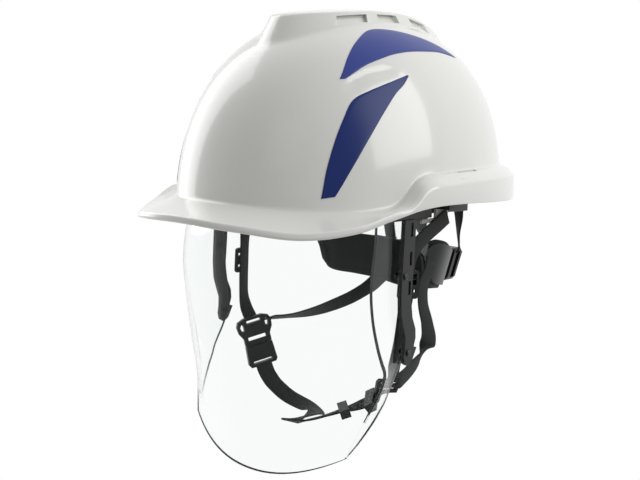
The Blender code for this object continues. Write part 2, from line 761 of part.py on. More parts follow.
def build_pinion(finish):
    """Toothed wheel behind the racks, turning with the knob."""
    x, y, z = NAPE_PIVOT
    teeth = 10
    outline = []
    for k in range(teeth * 4):
        a = 2 * math.pi * k / (teeth * 4)
        radius = PINION_RADII[1] if k % 4 < 2 else PINION_RADII[0]
        outline.append((radius * math.cos(a), radius * math.sin(a)))
    pinion = slab("ratchet_pinion", outline, (x, y - 1.2, z), Vector((1, 0, 0)), Vector((0, 0, 1)),
                  Vector((0, 1, 0)), 3.4, finish)
    bore = round_bar("bore", [(y - 6, 2.4 + GAP), (y + 6, 2.4 + GAP)], (x, 0, z), finish, 12)
    combine(pinion, bore, "DIFFERENCE")
    return pinion


def housing_outline(grow):
    low, high = HOUSING_HALF_WIDTHS
    tall = HOUSING_TALL / 2 + grow
    low, high = low + grow, high + grow
    return [(-low + 3, -tall), (low - 3, -tall), (low, -tall + 3), (high, tall - 3), (high - 2, tall),
            (-high + 2, tall), (-high, tall - 3), (-low, -tall + 3)]


def build_housing(finish):
    """Open tray that the racks enter from both sides."""
    x, y, z = NAPE_PIVOT
    u, v, w = Vector((1, 0, 0)), Vector((0, 0, 1)), Vector((0, 1, 0))
    front = Vector((x, y - HOUSING_DEEP / 2, z))
    tray = slab("ratchet_housing", housing_outline(0), front, u, v, w, HOUSING_DEEP, finish)
    hollow = slab("hollow", housing_outline(-3.2), front + w * 3.2, u, v, w, HOUSING_DEEP, finish)
    combine(tray, hollow, "DIFFERENCE")
    passage = block("passage", (x, y + 0.6, z), (90, RACK_THICK + 1.4, 2 * RACK_BAR[1] + 1.4), finish)
    combine(tray, passage, "DIFFERENCE")
    return tray


def build_cover(finish):
    """Plate that closes the tray and carries the knob."""
    x, y, z = NAPE_PIVOT
    back = y + HOUSING_DEEP / 2 + GAP
    plate = slab("ratchet_cover", housing_outline(-0.8), (x, back, z), Vector((1, 0, 0)), Vector((0, 0, 1)),
                 Vector((0, 1, 0)), 1.6, finish)
    bore = round_bar("bore", [(back - 4, 2.4 + GAP), (back + 6, 2.4 + GAP)], (x, 0, z), finish, 12)
    combine(plate, bore, "DIFFERENCE")
    return plate


def build_rack(name, side, finish):
    """Toothed bar beside the pinion; the left one runs above it and the right one below."""
    x, y, z = NAPE_PIVOT
    start, stop = RACK_REACH
    low, high = RACK_BAR
    outline = [(start, high), (stop, high), (stop, low)]
    teeth = int((stop - start - 14) / TOOTH_PITCH)
    for k in range(teeth, 0, -1):
        tip = start + 1.0 + (k - 0.5) * TOOTH_PITCH
        outline += [(tip + 1.2, low + 1.2), (tip + 0.5, low), (tip - 0.5, low), (tip - 1.2, low + 1.2)]
    outline.append((start, low + 1.2))
    return slab(name, outline, (x, y - RACK_THICK / 2 + 0.6, z), Vector((side, 0, 0)),
                Vector((0, 0, side)), Vector((0, 1, 0)), RACK_THICK, finish)


def nape_arm_route(side):
    """Sizing arm: straight inside the headband, then down and back to the nape cradle's tip."""
    points = ((73.3, -9, 13, 0, 0, 1), (73.4, -4, 12.6, 0, 0, 1), (73.0, 0, 10, 0, -0.3, 1),
              (70, 6, 3, 0, -0.6, 0.8), (63, 15, -9, 0.1, -0.6, 0.8), (56.5, 27, -20, 0.2, -0.5, 0.85),
              (53.8, 37.5, -27, 0.1, -0.4, 0.9))
    return [(side * a, b, c, side * d, e, f) for a, b, c, d, e, f in points]


# ================================================================== chin strap
def build_slider(name, centre, across, finish):
    """Plate with two cross slots, lying against the outer face of the webbing."""
    u, v = Vector(across).normalized(), Vector((0, 0, 1))
    w = u.cross(v)
    if w.x * centre[0] < 0:
        w = -w
    outline = [(-8, -8), (-6.5, -9.5), (6.5, -9.5), (8, -8), (7.4, 8.5), (6, 9.5), (-6, 9.5), (-7.4, 8.5)]
    place = Vector(centre) + w * (WEB_THICK / 2 + 2 * GAP)
    plate = slab(name, outline, place, u, v, w, 2.2, finish)
    for h in (-5.4, 3.6):
        cutter = slab("slot", [(-5.8, h), (5.8, h), (5.8, h + 2.0), (-5.8, h + 2.0)], place - w * 4,
                      u, v, w, 12, finish)
        combine(plate, cutter, "DIFFERENCE")
    return plate


def buckle_frame():
    """Across, down and outward directions of the buckle's flat."""
    across = (BUCKLE_ACROSS - BUCKLE_ACROSS.dot(BUCKLE_DOWN) * BUCKLE_DOWN).normalized()
    return across, BUCKLE_DOWN, across.cross(BUCKLE_DOWN).normalized()


def build_buckle_top(finish):
    """Wide upper half with two strap holes and a window, hollow below to take the tongue."""
    u, v, w = buckle_frame()
    base = BUCKLE_TOP - w * (BUCKLE_THICK / 2)
    outline = [(-14, 3.5), (-12.5, 0), (-7.5, -2), (7.5, -2), (12.5, 0), (14, 3.5), (13.4, 9),
               (10.6, 14), (10.6, 20), (-10.6, 20), (-10.6, 14), (-13.4, 9)]
    body = slab("buckle_frame", outline, base, u, v, w, BUCKLE_THICK, finish)
    cuts = ([(-11.5, 4), (-9.8, 1.6), (-8.6, 4), (-8.8, 7.6), (-10.6, 7.6)],
            [(8.6, 4), (9.8, 1.6), (11.5, 4), (10.6, 7.6), (8.8, 7.6)],
            [(-5.6, 0.2), (5.6, 0.2), (5.6, 2.6), (-5.6, 2.6)])
    for cut in cuts:
        combine(body, slab("cut", cut, base - w * 6, u, v, w, 20, finish), "DIFFERENCE")
    mouth = slab("mouth", [(-8.6, 10.4), (8.6, 10.4), (8.6, 30), (-8.6, 30)], base + w * 0.9, u, v, w,
                 BUCKLE_THICK - 1.8, finish)
    combine(body, mouth, "DIFFERENCE")
    window = slab("window", [(-7.4, 13.2), (7.4, 13.2), (7.4, 16.6), (-7.4, 16.6)], base - w * 6, u, v, w,
                  20, finish)
    combine(body, window, "DIFFERENCE")
    return body


def build_buckle_tongue(finish):
    """Ribbed lower half: a blade that enters the frame, and a grip with a strap slot."""
    u, v, w = buckle_frame()
    grip_thick = BUCKLE_THICK + 0.6
    outline = [(-10.6, 20.4), (10.6, 20.4), (11.6, 35), (10.2, 37.2), (-10.2, 37.2), (-11.6, 35)]
    grip = slab("buckle_tongue", outline,
                BUCKLE_TOP - w * (grip_thick / 2), u, v, w, grip_thick, finish)
    blade = slab("blade", [(-7.8, 17.4), (7.8, 17.4), (7.8, 22), (-7.8, 22)], BUCKLE_TOP - w * 0.7,
                 u, v, w, 1.4, finish)
    combine(grip, blade, "UNION")
    slot = slab("slot", [(-7.6, 32.8), (7.6, 32.8), (7.6, 34.8), (-7.6, 34.8)], BUCKLE_TOP - w * 8, u, v, w,
                16, finish)
    combine(grip, slot, "DIFFERENCE")
    for across in (-6.5, 0.0, 6.5):
        groove = slab("groove", [(across - 0.7, 22.5), (across + 0.7, 22.5), (across + 0.7, 31),
                                 (across - 0.7, 31)], BUCKLE_TOP + w * (grip_thick / 2 - 0.7),
                      u, v, w, 3, finish)
        combine(grip, groove, "DIFFERENCE")
    return grip


def build_keeper(name, share, finish):
    """Loop round the chin strap, at a share of the strap's route."""
    fine = spline_wide(CHIN_ROUTE, 8)
    index = round(share * (len(fine) - 1))
    centre, side = fine[index]
    along = (fine[index + 1][0] - fine[index - 1][0]).normalized()
    across = (side - side.dot(along) * along).normalized()
    out = along.cross(across)
    loop = block(name, centre, (WEB_WIDE + 3, 6.2, 7.0), finish, (across, out, along))
    hole = block("hole", centre, (WEB_WIDE - 0.6, 3.4, 20), finish, (across, out, along))
    combine(loop, hole, "DIFFERENCE")
    return loop


SLIDER_LEFT = ((79.6, -22.4, -41.0), (0.5, 0.866, 0))
SLIDER_RIGHT = ((-80.0, -15.6, -46.0), (-0.22, 0.97, 0))
FRONT_UPPER = ((82.4, 19, 2.2, 0, 0.45, -0.89), (82.2, 9.3, -2.6, 0, 0.45, -0.89),
               (81.8, -4, -9.0, 0, 0.5, -0.86))
FRONT_LEFT = FRONT_UPPER + ((81.0, -14.5, -16.0, 0.1, 0.8, -0.6), (80.0, -20.5, -24.5, 0.3, 0.95, -0.2),
                            (79.6, -22.3, -33, 0.5, 0.866, 0), (79.6, -22.5, -49, 0.5, 0.866, 0),
                            (79.0, -23, -60, 0.3, 0.95, 0), (77.0, -24, -80, 0.2, 1, 0),
                            (73.2, -23.6, -98, 0.3, 1, -0.1), (71.0, -23, -106.6, 0.36, 0.93, -0.1))
FRONT_RIGHT = mirrored_route(FRONT_UPPER) + ((-81.0, -10.5, -15.0, 0, 0.8, -0.6),
                                             (-80.4, -14.4, -23.5, -0.1, 1, -0.2),
                                             (-80.0, -15.4, -33, -0.22, 0.97, 0),
                                             (-80.0, -15.6, -48, -0.22, 0.97, 0),
                                             (-80.0, -15.6, -60, -0.22, 0.97, 0),
                                             (-79.0, -16.0, -73, -0.2, 0.97, 0),
                                             (-75.6, -16.6, -82, 0.1, 1, 0),
                                             (-71.6, -17.6, -86.6, 0.4, 0.9, -0.1))
REAR_LEFT = ((56.6, 39, -40, 0, 1, 0), (57.2, 31, -51, 0, 1, 0.2), (59, 29, -65, 0, 1, 0.15),
             (62, 31, -79, 0.1, 1, 0.3), (66.5, 27, -90, 0.1, 0.9, 0.6), (68.5, 16, -99, 0.1, 0.7, 0.8),
             (69.8, 2, -106, 0, 0.55, 0.9), (70.8, -9.5, -110.2, 0, 0.5, 0.95))
REAR_RIGHT = ((-37, 105.5, -66, 0.1, 0.1, 1), (-46, 99, -77, 0.1, 0.1, 1), (-54, 86, -85.5, 0.1, 0.1, 1),
              (-59, 66, -90.5, 0.3, 0, 0.95), (-60.5, 45, -92.4, 0.6, 0, 0.8), (-61, 22, -92.2, 0.85, 0, 0.5),
              (-61.5, 8, -91.5, 0.9, 0, 0.4), (-62.0, -2.4, -90.6, 0.9, 0.1, 0.4))
CHIN_ROUTE = ((-58.6, -10.2, -130.6, 0.5, 0.866, -0.1), (-55.8, -8.8, -136, 0.47, 0.87, 0.05),
              (-50.8, -6.8, -141.8, 0.4, 0.88, 0.15), (-39.6, -4, -148.8, 0.25, 0.9, 0.35),
              (-22, -4, -152, 0.15, 0.9, 0.4), (-5, -11, -151, 0.5, 0.85, 0.15),
              (4, -27, -148.5, 0.85, 0.5, 0), (10, -47, -144.5, 0.95, 0.3, 0),
              (17, -64, -141.0, 0.35, 0.93, 0), (28, -60, -139.0, -0.6, 0.8, 0),
              (35, -47, -136.8, -0.85, 0.5, 0), (42, -36.5, -133.5, -0.6, 0.8, 0.1),
              (51, -30.5, -129, -0.35, 0.85, 0.3), (59, -27, -124.2, -0.2, 0.8, 0.5),
              (64.4, -25.2, -120.4, 0, 0.8, 0.5))
HANGER = ((36.4, 105.6, -1, 1, 0, 0), (35.6, 107.5, -10, 0.95, -0.3, 0), (34.6, 109.4, -22, 0.7, -0.7, 0),
          (34.2, 112.0, -33.4, 0.55, -0.84, 0))


def build_junction(finish):
    """Three-bar loop where the left front, rear and chin webbing meet."""
    u = Vector((0.35, 0.9, -0.1)).normalized()
    v = Vector((-0.28, 0.05, -1))
    v = (v - v.dot(u) * u).normalized()
    w = u.cross(v)
    base = Vector((69.4, -22.6, -108.6)) - w * 1.4
    outline = [(-8.5, 0), (8.5, 0), (9.5, 2), (8.5, 10), (-8.5, 10), (-9.5, 2)]
    plate = slab("strap_junction", outline, base, u, v, w, 2.8, finish)
    for h in (1.8, 6.0):
        cutter = slab("slot", [(-6.6, h), (6.6, h), (6.6, h + 2.0), (-6.6, h + 2.0)], base - w * 5, u, v, w,
                      14, finish)
        combine(plate, cutter, "DIFFERENCE")
    return plate


# ================================================================== assembly
def main():
    clear_scene()
    white = material("shell_white", (0.83, 0.83, 0.79), 0.22)
    blue = material("decal_blue", (0.03, 0.06, 0.27), 0.35)
    clear = material("lens_clear", (0.93, 0.96, 0.95), 0.05, transmission=0.9)
    black = material("hard_black", (0.025, 0.027, 0.028), 0.45)
    dark = material("pad_dark", (0.035, 0.04, 0.042), 0.8)
    web = material("webbing", (0.02, 0.022, 0.023), 0.85)
    grey = material("key_grey", (0.55, 0.55, 0.52), 0.5)

    visor = pivot("visor_axis", VISOR_PIVOT)
    nape = pivot("nape_axis", NAPE_PIVOT)
    tongue = pivot("buckle_axis", BUCKLE_TOP)

    build_shell(white)
    for side, word in ((1, "left"), (-1, "right")):
        decal("decal_upper_" + word, UPPER_TOP, UPPER_LOW, side, blue)
        decal("decal_lower_" + word, LOWER_LEFT, LOWER_RIGHT, side, blue)

    hang(build_lens(clear), visor)
    for side, word in ((1, "left"), (-1, "right")):
        hang(build_arm("visor_arm_" + word, side, black), visor)
        for spot, (y, z) in zip(("upper", "lower"), RIVETS):
            hang(build_rivet("visor_rivet_%s_%s" % (spot, word), side, y, z, black), visor)
        build_guide("visor_guide_" + word, side, black)

    band = band_plan()
    wall("headband", band, band_low, band_high, 0.0, BAND_THICK, black)
    front = band[13:-13]
    wall("sweatband", front, lambda t: BAND_LOW + 3.5, lambda t: BAND_HIGH - 6.5, -SWEAT_THICK - GAP,
         SWEAT_THICK, dark, 0.9)
    for side, word in ((1, "left"), (-1, "right")):
        build_side_key("suspension_key_side_" + word, side, grey)
        build_rear_key("suspension_key_rear_" + word, side, grey)
    ribbon("crown_strap_side", crown_strap_route((82.3, 15, 10.5), (1, 0), (0, 0)), 16, web, STRAP_THICK, 2)
    ribbon("crown_strap_rear", crown_strap_route((46.0, 92.0, 12.0), (1, 0), (62, 2.4)), 16, web,
           STRAP_THICK, 2)
    block("crown_pad", (0, 15, CROWN_HEIGHT - 14.2), (50, 38, 5), dark, corner=10)

    hang(wall("nape_pad", nape_plan(), nape_low, nape_top, -NAPE_PAD_THICK - 0.4, NAPE_PAD_THICK, dark, 1.6,
              NAPE_LEAN), nape)
    hang(wall("nape_cradle", nape_plan(), cradle_low, cradle_top, 0.0, CRADLE_THICK, black,
              0.0, NAPE_LEAN), nape)
    for piece in (build_housing(black), build_cover(black), build_knob(black), build_pinion(black)):
        hang(piece, nape)
    for side, word in ((1, "left"), (-1, "right")):
        hang(ribbon("nape_arm_" + word, nape_arm_route(side), ARM_HEIGHT, black, ARM_THICK, 3), nape)
        hang(build_rack("ratchet_rack_" + word, side, black), nape)

    ribbon("front_strap_left", FRONT_LEFT, WEB_NARROW, web)
    ribbon("front_strap_right", FRONT_RIGHT, WEB_NARROW, web)
    ribbon("rear_strap_left", REAR_LEFT, WEB_NARROW, web)
    ribbon("rear_strap_right", REAR_RIGHT, WEB_NARROW, web)
    ribbon("chin_strap", CHIN_ROUTE, WEB_WIDE - 2, web)
    ribbon("nape_hanger_left", HANGER, 9, web)
    ribbon("nape_hanger_right", mirrored_route(HANGER), 9, web)
    build_slider("strap_slider_left", *SLIDER_LEFT, black)
    build_slider("strap_slider_right", *SLIDER_RIGHT, black)
    build_buckle_top(black)
    hang(build_buckle_tongue(black), tongue)
    build_junction(black)
    build_keeper("strap_keeper_front", 0.79, black)
    build_keeper("strap_keeper_side", 0.92, black)


main()
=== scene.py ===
"""Looks of the hard hat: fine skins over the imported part, procedural finishes, studio and camera."""

import math

import bmesh
import bpy
from mathutils import Matrix, Vector


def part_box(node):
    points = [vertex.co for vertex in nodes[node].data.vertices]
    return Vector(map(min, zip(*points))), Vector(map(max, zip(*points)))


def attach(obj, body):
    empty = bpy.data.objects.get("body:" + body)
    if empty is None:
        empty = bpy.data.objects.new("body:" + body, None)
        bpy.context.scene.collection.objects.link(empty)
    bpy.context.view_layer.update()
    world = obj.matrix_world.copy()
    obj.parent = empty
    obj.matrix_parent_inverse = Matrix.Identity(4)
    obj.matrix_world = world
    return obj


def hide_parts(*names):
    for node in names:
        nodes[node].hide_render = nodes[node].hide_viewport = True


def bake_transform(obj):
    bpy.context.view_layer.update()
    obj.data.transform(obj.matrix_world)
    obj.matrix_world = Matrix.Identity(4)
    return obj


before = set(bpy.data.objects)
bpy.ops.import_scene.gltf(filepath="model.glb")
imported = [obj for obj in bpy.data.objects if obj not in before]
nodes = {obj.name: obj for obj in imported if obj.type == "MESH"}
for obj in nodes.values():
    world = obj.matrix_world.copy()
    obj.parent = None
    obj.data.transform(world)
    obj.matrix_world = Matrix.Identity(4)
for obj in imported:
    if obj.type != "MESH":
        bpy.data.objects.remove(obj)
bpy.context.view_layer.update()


# ------------------------------------------------------------------ sizes of the shell, in millimetres
MM = 0.001
GAP = 0.35
DOME_HALF_WIDTH = 103.5
DOME_FRONT = 123.5
DOME_REAR = 128.5
DOME_HEIGHT = 138.0
DOME_WALL = 2.6
UPRIGHT_POWER = (2.23, 2.57)      # roundness of the side outline, at the front and at the rear
PLAN_POWER = (2.1, 2.34)          # roundness of the plan outline, front half and rear half
BRIM_HALF_WIDTH = 113.5
BRIM_FRONT = 154.0
BRIM_REAR = 141.0
BRIM_POWER = 2.25
BRIM_EDGE = 4.5
SHOULDER_DROP = 5.5               # the shoulder's outer corner lies this far below its inner line

# angle from the front in degrees, height in mm
RIM_HEIGHT = ((0, 1.0), (16, -0.9), (31, -4.0), (45, 0.1), (54, 6.5), (66, 13.0), (80, 15.0),
              (110, 13.5), (152, 10.2), (180, 8.9))
FOOT_HEIGHT = ((0, 12.4), (28, 10.8), (41, 10.7), (52, 11.5), (59, 15.0), (68, 31.5), (80, 34.6),
               (105, 36.4), (150, 35.8), (180, 35.5))
SHOULDER_START = 56.0             # the brim turns into the raised shoulder between these angles
SHOULDER_FULL = 67.0

RIDGE_FOOT = (42.5, 77.0, 114.0)
RIDGE_EDGE = (37.0, 67.5, 106.0)
RIDGE_POWER = (1.85, 2.9)
RIDGE_RISE = ((-70, 12.8), (-66, 12.2), (-57, 10.4), (-48, 8.8), (-33, 7.4), (-18, 7.2), (0, 7.2), (45, 7.1),
              (65, 6.8), (80, 6.2), (94, 4.8), (106, 2.6))
RIDGE_CROWN = 2.2                 # the ridge's middle stands this far above its two edges
POCKETS = ((-45, -22), (-12, 9), (25, 46))
SOCKET_MID_Y = 6.0
SOCKET_SIZE = (9.0, 28.0, 14.0)
SOCKET_MID = (106.0, 24.5)
SLOT_SIZE = (2.6, 22.0)
SLOT_X = 104.2

# ------------------------------------------------------------------ shield, band, nape and straps
LENS_THICK = 2.0
LENS_TOP = 1.0
LENS_BOTTOM = -174.0
LENS_BOW = 2.1                    # power of the front's curve from midline to fold
LENS_MIDLINE = ((-174, -87.0), (-140, -95.5), (-100, -102.0), (-50, -105.5), (5, -106.0))
LENS_FOLD = ((86.4, -65.8, 3), (88, -68, -12), (88.2, -70.3, -28), (88.5, -70.8, -43), (89, -68.2, -60),
             (90.5, -64.3, -76), (91.8, -61, -86), (92.6, -58, -94), (90, -58, -104), (86, -59.3, -114),
             (82, -61.5, -124), (78.5, -63.8, -133), (74.8, -66.6, -143), (71, -69.9, -153))
LENS_EDGE = ((84, -33, 3), (84.1, -32.5, -20), (84.3, -33, -43), (84.5, -31, -60), (84.8, -29, -76),
             (84.8, -30.5, -88), (84.6, -33.5, -96), (84.2, -41.5, -109), (83.5, -45.4, -117),
             (82.6, -49.5, -123), (81.4, -53.6, -129), (79.0, -59.3, -137), (75.6, -64.4, -145),
             (71.6, -69.4, -152.4))
BAND_PATH = ((73.5, 56, 0), (75.3, 32, 0), (75.9, 6, 0), (74.4, -20, 0), (60, -54, 0), (34, -79, 0),
             (0, -86, 0))
BAND_LOW = 3.0
BAND_HIGH = 27.0
SWEAT_THICK = 3.0
STRAP_THICK = 1.3
CROWN_HEIGHT = 101.0
CROWN_STRAP_STEPS = 10
CROWN_KEY_SIDE = (82.3, 15, 10.5)
CROWN_KEY_REAR = (46.0, 92.0, 12.0)
REAR_STRAP_SAG = (62, 2.4)        # the rear strap's middle lies this far forward and down
NAPE_PATH = ((50, 38), (53, 58), (45.5, 80), (33, 98), (14, 106.5), (0, 107.5))
NAPE_TOP = ((0, -34.0), (0.2, -34.0), (0.4, -31.5), (0.6, -28.5), (0.8, -22.0), (0.93, -20.5), (1, -25.0))
NAPE_LOW = ((0, -70.0), (0.2, -69.0), (0.4, -65.0), (0.6, -61.0), (0.8, -56.5), (0.9, -50.0), (1, -33.0))
NAPE_LEAN = 0.0028                # the pad draws in by this share for each mm below its top
NAPE_PAD_THICK = 5.0
WEB_THICK = 1.4
CHIN_WEB_WIDE = 13.0
WEB_NARROW = 11.5
CROWN_WEB_WIDE = 16.0
HANGER_WIDE = 9.0


# ================================================================== curves and dome
def table(keys, value):
    """Smooth reading of (key, value) pairs, with slopes from the neighbouring keys."""
    if value <= keys[0][0]:
        return keys[0][1]
    if value >= keys[-1][0]:
        return keys[-1][1]
    index = max(i for i in range(len(keys) - 1) if keys[i][0] <= value)
    x0, y0 = keys[index]
    x1, y1 = keys[index + 1]

    def slope(i):
        low, high = keys[max(i - 1, 0)], keys[min(i + 1, len(keys) - 1)]
        return (high[1] - low[1]) / (high[0] - low[0])
    span = x1 - x0
    t = (value - x0) / span
    m0, m1 = slope(index) * span, slope(index + 1) * span
    if index == 0:
        m0 = 0.0
    if index == len(keys) - 2:
        m1 = 0.0
    return ((2 * t ** 3 - 3 * t ** 2 + 1) * y0 + (t ** 3 - 2 * t ** 2 + t) * m0
            + (3 * t ** 2 - 2 * t ** 3) * y1 + (t ** 3 - t ** 2) * m1)


def spline(points, steps):
    """Catmull-Rom curve through points of any dimension."""
    rows = [Vector(p) for p in points]
    rows = [2 * rows[0] - rows[1]] + rows + [2 * rows[-1] - rows[-2]]
    out = []
    for i in range(1, len(rows) - 2):
        a, b, c, d = rows[i - 1:i + 3]
        for k in range(steps):
            t = k / steps
            out.append(0.5 * (2 * b + (c - a) * t + (2 * a - 5 * b + 4 * c - d) * t * t
                              + (3 * b - a - 3 * c + d) * t ** 3))
    out.append(rows[-2].copy())
    return out


def spline_wide(route, steps):
    """Places and width directions along a route, both as smooth curves."""
    places = spline([p[:3] for p in route], steps)
    sides = spline([p[3:] for p in route], steps)
    return list(zip(places, sides))


def mirrored_route(route):
    """A route on the other side of the hat."""
    return tuple((-a, b, c, -d, e, f) for a, b, c, d, e, f in route)


def plan_radius(angle, half_width, front, rear, powers):
    """Reach of a rounded outline seen from above, in a direction."""
    c, s = abs(math.cos(angle)), math.sin(angle)
    power = powers[0] if s < 0 else powers[1]
    depth = front if s < 0 else rear
    return ((c / half_width) ** power + (abs(s) / depth) ** power) ** (-1 / power)


def upright_power(angle):
    """Roundness of the side outline in a direction, from the front's value to the rear's."""
    return UPRIGHT_POWER[0] + (UPRIGHT_POWER[1] - UPRIGHT_POWER[0]) * (1 + math.sin(angle)) / 2


def dome_scale(height, angle, shrink=0.0):
    """Share of the dome's full plan that is left at a height."""
    power = upright_power(angle)
    top = DOME_HEIGHT - shrink
    return max(1 - (max(height, 0) / top) ** power, 0.0) ** (1 / power)


def dome_reach(height, angle, shrink=0.0):
    """Distance from the upright axis to the dome in a direction, at a height."""
    flat = plan_radius(angle, DOME_HALF_WIDTH - shrink, DOME_FRONT - shrink, DOME_REAR - shrink, PLAN_POWER)
    return flat * dome_scale(height, angle, shrink)


def dome_height(x, y):
    """Height of the dome's outside over a point of the plan."""
    angle = math.atan2(y, x)
    flat = plan_radius(angle, DOME_HALF_WIDTH, DOME_FRONT, DOME_REAR, PLAN_POWER)
    share = min(math.hypot(x, y) / flat, 1.0)
    power = upright_power(angle)
    return DOME_HEIGHT * (1 - share ** power) ** (1 / power)


HALVINGS = 40                     # steps of the search for a point on the dome


def dome_side(y, z, proud):
    """A point of the dome's left side, found from its y and z, moved out by proud."""
    low, high = 1.0, DOME_HALF_WIDTH
    for _ in range(HALVINGS):
        x = (low + high) / 2
        if math.hypot(x, y) < dome_reach(z, math.atan2(y, x)):
            low = x
        else:
            high = x
    step = 0.5
    slope_z = dome_gap(low, y, z + step) - dome_gap(low, y, z - step)
    slope_y = dome_gap(low, y + step, z) - dome_gap(low, y - step, z)
    slope_x = dome_gap(low + step, y, z) - dome_gap(low - step, y, z)
    normal = Vector((slope_x, slope_y, slope_z)).normalized()
    return Vector((low, y, z)) + normal * proud


def dome_gap(x, y, z):
    """How far a point lies outside the dome, measured level."""
    return math.hypot(x, y) - dome_reach(z, math.atan2(y, x))


def ease(value, low, high):
    """Smooth step from 0 at low to 1 at high."""
    t = min(max((value - low) / (high - low), 0.0), 1.0)
    return t * t * (3 - 2 * t)


def mix(a, b, t):
    """The point at share t of the way from a to b."""
    return (a[0] + (b[0] - a[0]) * t, a[1] + (b[1] - a[1]) * t)


def rim_section(angle, from_front):
    """Brim or shoulder section as (reach, height): outside going down, then inside going up."""
    foot = table(FOOT_HEIGHT, from_front)
    rim = table(RIM_HEIGHT, from_front)
    edge = plan_radius(angle, BRIM_HALF_WIDTH, BRIM_FRONT, BRIM_REAR, (BRIM_POWER, BRIM_POWER))
    reach = dome_reach(foot, angle)
    corner = foot - SHOULDER_DROP
    inner_reach = dome_reach(foot - 3.0, angle, DOME_WALL)
    lip = rim + BRIM_EDGE
    brim = [(reach + (edge - reach) * 0.45, foot + (lip - foot) * 0.52),
            (reach + (edge - reach) * 0.88, foot + (lip - foot) * 0.92),
            (edge - 0.6, lip), (edge, rim + 1.5), (edge - 0.8, rim), (edge - 3.0, rim),
            (edge - 4.5, rim + 1.2), (inner_reach + 3.0, foot - 4.2), (inner_reach, foot - 3.2)]
    shoulder = [(reach + 3.0, foot - 0.4),
                (edge - 3.2, corner + 1.6), (edge - 0.4, corner - 1.2), (edge, (corner + rim) / 2),
                (edge - 0.2, rim), (edge - 2.6, rim), (edge - 2.6, (corner + rim) / 2),
                (edge - 4.0, corner - 2.0), (inner_reach, foot - 3.2)]
    weight = ease(from_front, SHOULDER_START, SHOULDER_FULL)
    return [mix(a, b, weight) for a, b in zip(brim, shoulder)], foot


def shell_point(angle, reach, height):
    """The place at a reach from the upright axis and a height."""
    return (reach * math.cos(angle), reach * math.sin(angle), height)


def outline_width(outline, y):
    """Half width of a ridge outline at a y."""
    width, front, rear = outline
    power = RIDGE_POWER[0] if y < 0 else RIDGE_POWER[1]
    depth = front if y < 0 else rear
    return width * (1 - (abs(y) / depth) ** power) ** (1 / power)


def row_normals(rows):
    """Directions square to a grid of points, one for each point."""
    out = []
    for r, row in enumerate(rows):
        above, below = rows[max(r - 1, 0)], rows[min(r + 1, len(rows) - 1)]
        line = []
        for c in range(len(row)):
            left, right = row[max(c - 1, 0)], row[min(c + 1, len(row) - 1)]
            line.append((right - left).cross(below[c] - above[c]).normalized())
        out.append(line)
    return out


def nape_top(share):
    """Height of the nape pad's top edge at a share of its path."""
    return table(NAPE_TOP, abs(2 * share - 1))


def nape_low(share):
    """Height of the nape pad's bottom edge at a share of its path."""
    return table(NAPE_LOW, abs(2 * share - 1))


def crown_strap_route(start, across, sag):
    """Over-the-head strap between two mirrored keys; sag leads its middle forward and down."""
    x0, y0, z0 = start
    rows = []
    for k in range(CROWN_STRAP_STEPS + 1):
        angle = math.pi * k / CROWN_STRAP_STEPS
        lift = math.sin(angle)
        x = x0 * math.cos(angle)
        z = z0 + (CROWN_HEIGHT - sag[1] - z0) * lift ** 0.72
        rows.append((x, y0 - sag[0] * lift ** 0.8, z, 0, *across))
    return rows


# ================================================================== finishes
def finish_material(name, colour, roughness, **inputs):
    """A node material, its shader and its tree."""
    made = bpy.data.materials.new(name)
    made.use_nodes = True
    shader = made.node_tree.nodes["Principled BSDF"]
    shader.inputs["Base Color"].default_value = (*colour, 1.0)
    shader.inputs["Roughness"].default_value = roughness
    for key, value in inputs.items():
        shader.inputs[key.replace("_", " ")].default_value = value
    return made, shader, made.node_tree


GRAIN_DETAIL = 3.0
GRAIN_DEPTH = 0.00005


def grain(tree, shader, scale, strength):
    """Fine moulded bump from noise in object space."""
    place = tree.nodes.new("ShaderNodeTexCoord")
    noise = tree.nodes.new("ShaderNodeTexNoise")
    noise.inputs["Scale"].default_value = scale
    noise.inputs["Detail"].default_value = GRAIN_DETAIL
    bump = tree.nodes.new("ShaderNodeBump")
    bump.inputs["Strength"].default_value = strength
    bump.inputs["Distance"].default_value = GRAIN_DEPTH
    tree.links.new(place.outputs["Object"], noise.inputs["Vector"])
    tree.links.new(noise.outputs["Fac"], bump.inputs["Height"])
    tree.links.new(bump.outputs["Normal"], shader.inputs["Normal"])


def painted_shade_ramp(tree, shader, factor, dark, light):
    """Colour that runs between two tones with a factor; the callers feed it a bump's height, so it paints
    shade into the low parts.
    """
    ramp = tree.nodes.new("ShaderNodeValToRGB")
    ramp.color_ramp.elements[0].color = (*dark, 1.0)
    ramp.color_ramp.elements[1].color = (*light, 1.0)
    tree.links.new(factor, ramp.inputs["Fac"])
    tree.links.new(ramp.outputs["Color"], shader.inputs["Base Color"])


def plastic(name, colour, roughness, bump=0.08, scale=2600.0, **inputs):
    """Plain plastic with a fine grain."""
    made, shader, tree = finish_material(name, colour, roughness, **inputs)
    grain(tree, shader, scale, bump)
    return made


def knit(name, dark, light, scale):
    """Knitted cover: rows of small rounded cells, with painted shade in the hollows between them."""
    made, shader, tree = finish_material(name, light, 0.92, Sheen_Weight=0.05, Sheen_Roughness=0.6,
                                         Specular_IOR_Level=0.45)
    place = tree.nodes.new("ShaderNodeTexCoord")
    cells = tree.nodes.new("ShaderNodeTexVoronoi")
    cells.inputs["Scale"].default_value = scale
    cells.inputs["Randomness"].default_value = 0.35
    bump = tree.nodes.new("ShaderNodeBump")
    bump.invert = True
    bump.inputs["Strength"].default_value = 0.5
    bump.inputs["Distance"].default_value = 0.0003
    tree.links.new(place.outputs["Object"], cells.inputs["Vector"])
    tree.links.new(cells.outputs["Distance"], bump.inputs["Height"])
    tree.links.new(bump.outputs["Normal"], shader.inputs["Normal"])
    # painted shade: the hollows between the cells are coloured darker than their raised middles
    painted_shade_ramp(tree, shader, cells.outputs["Distance"], light, dark)
    return made


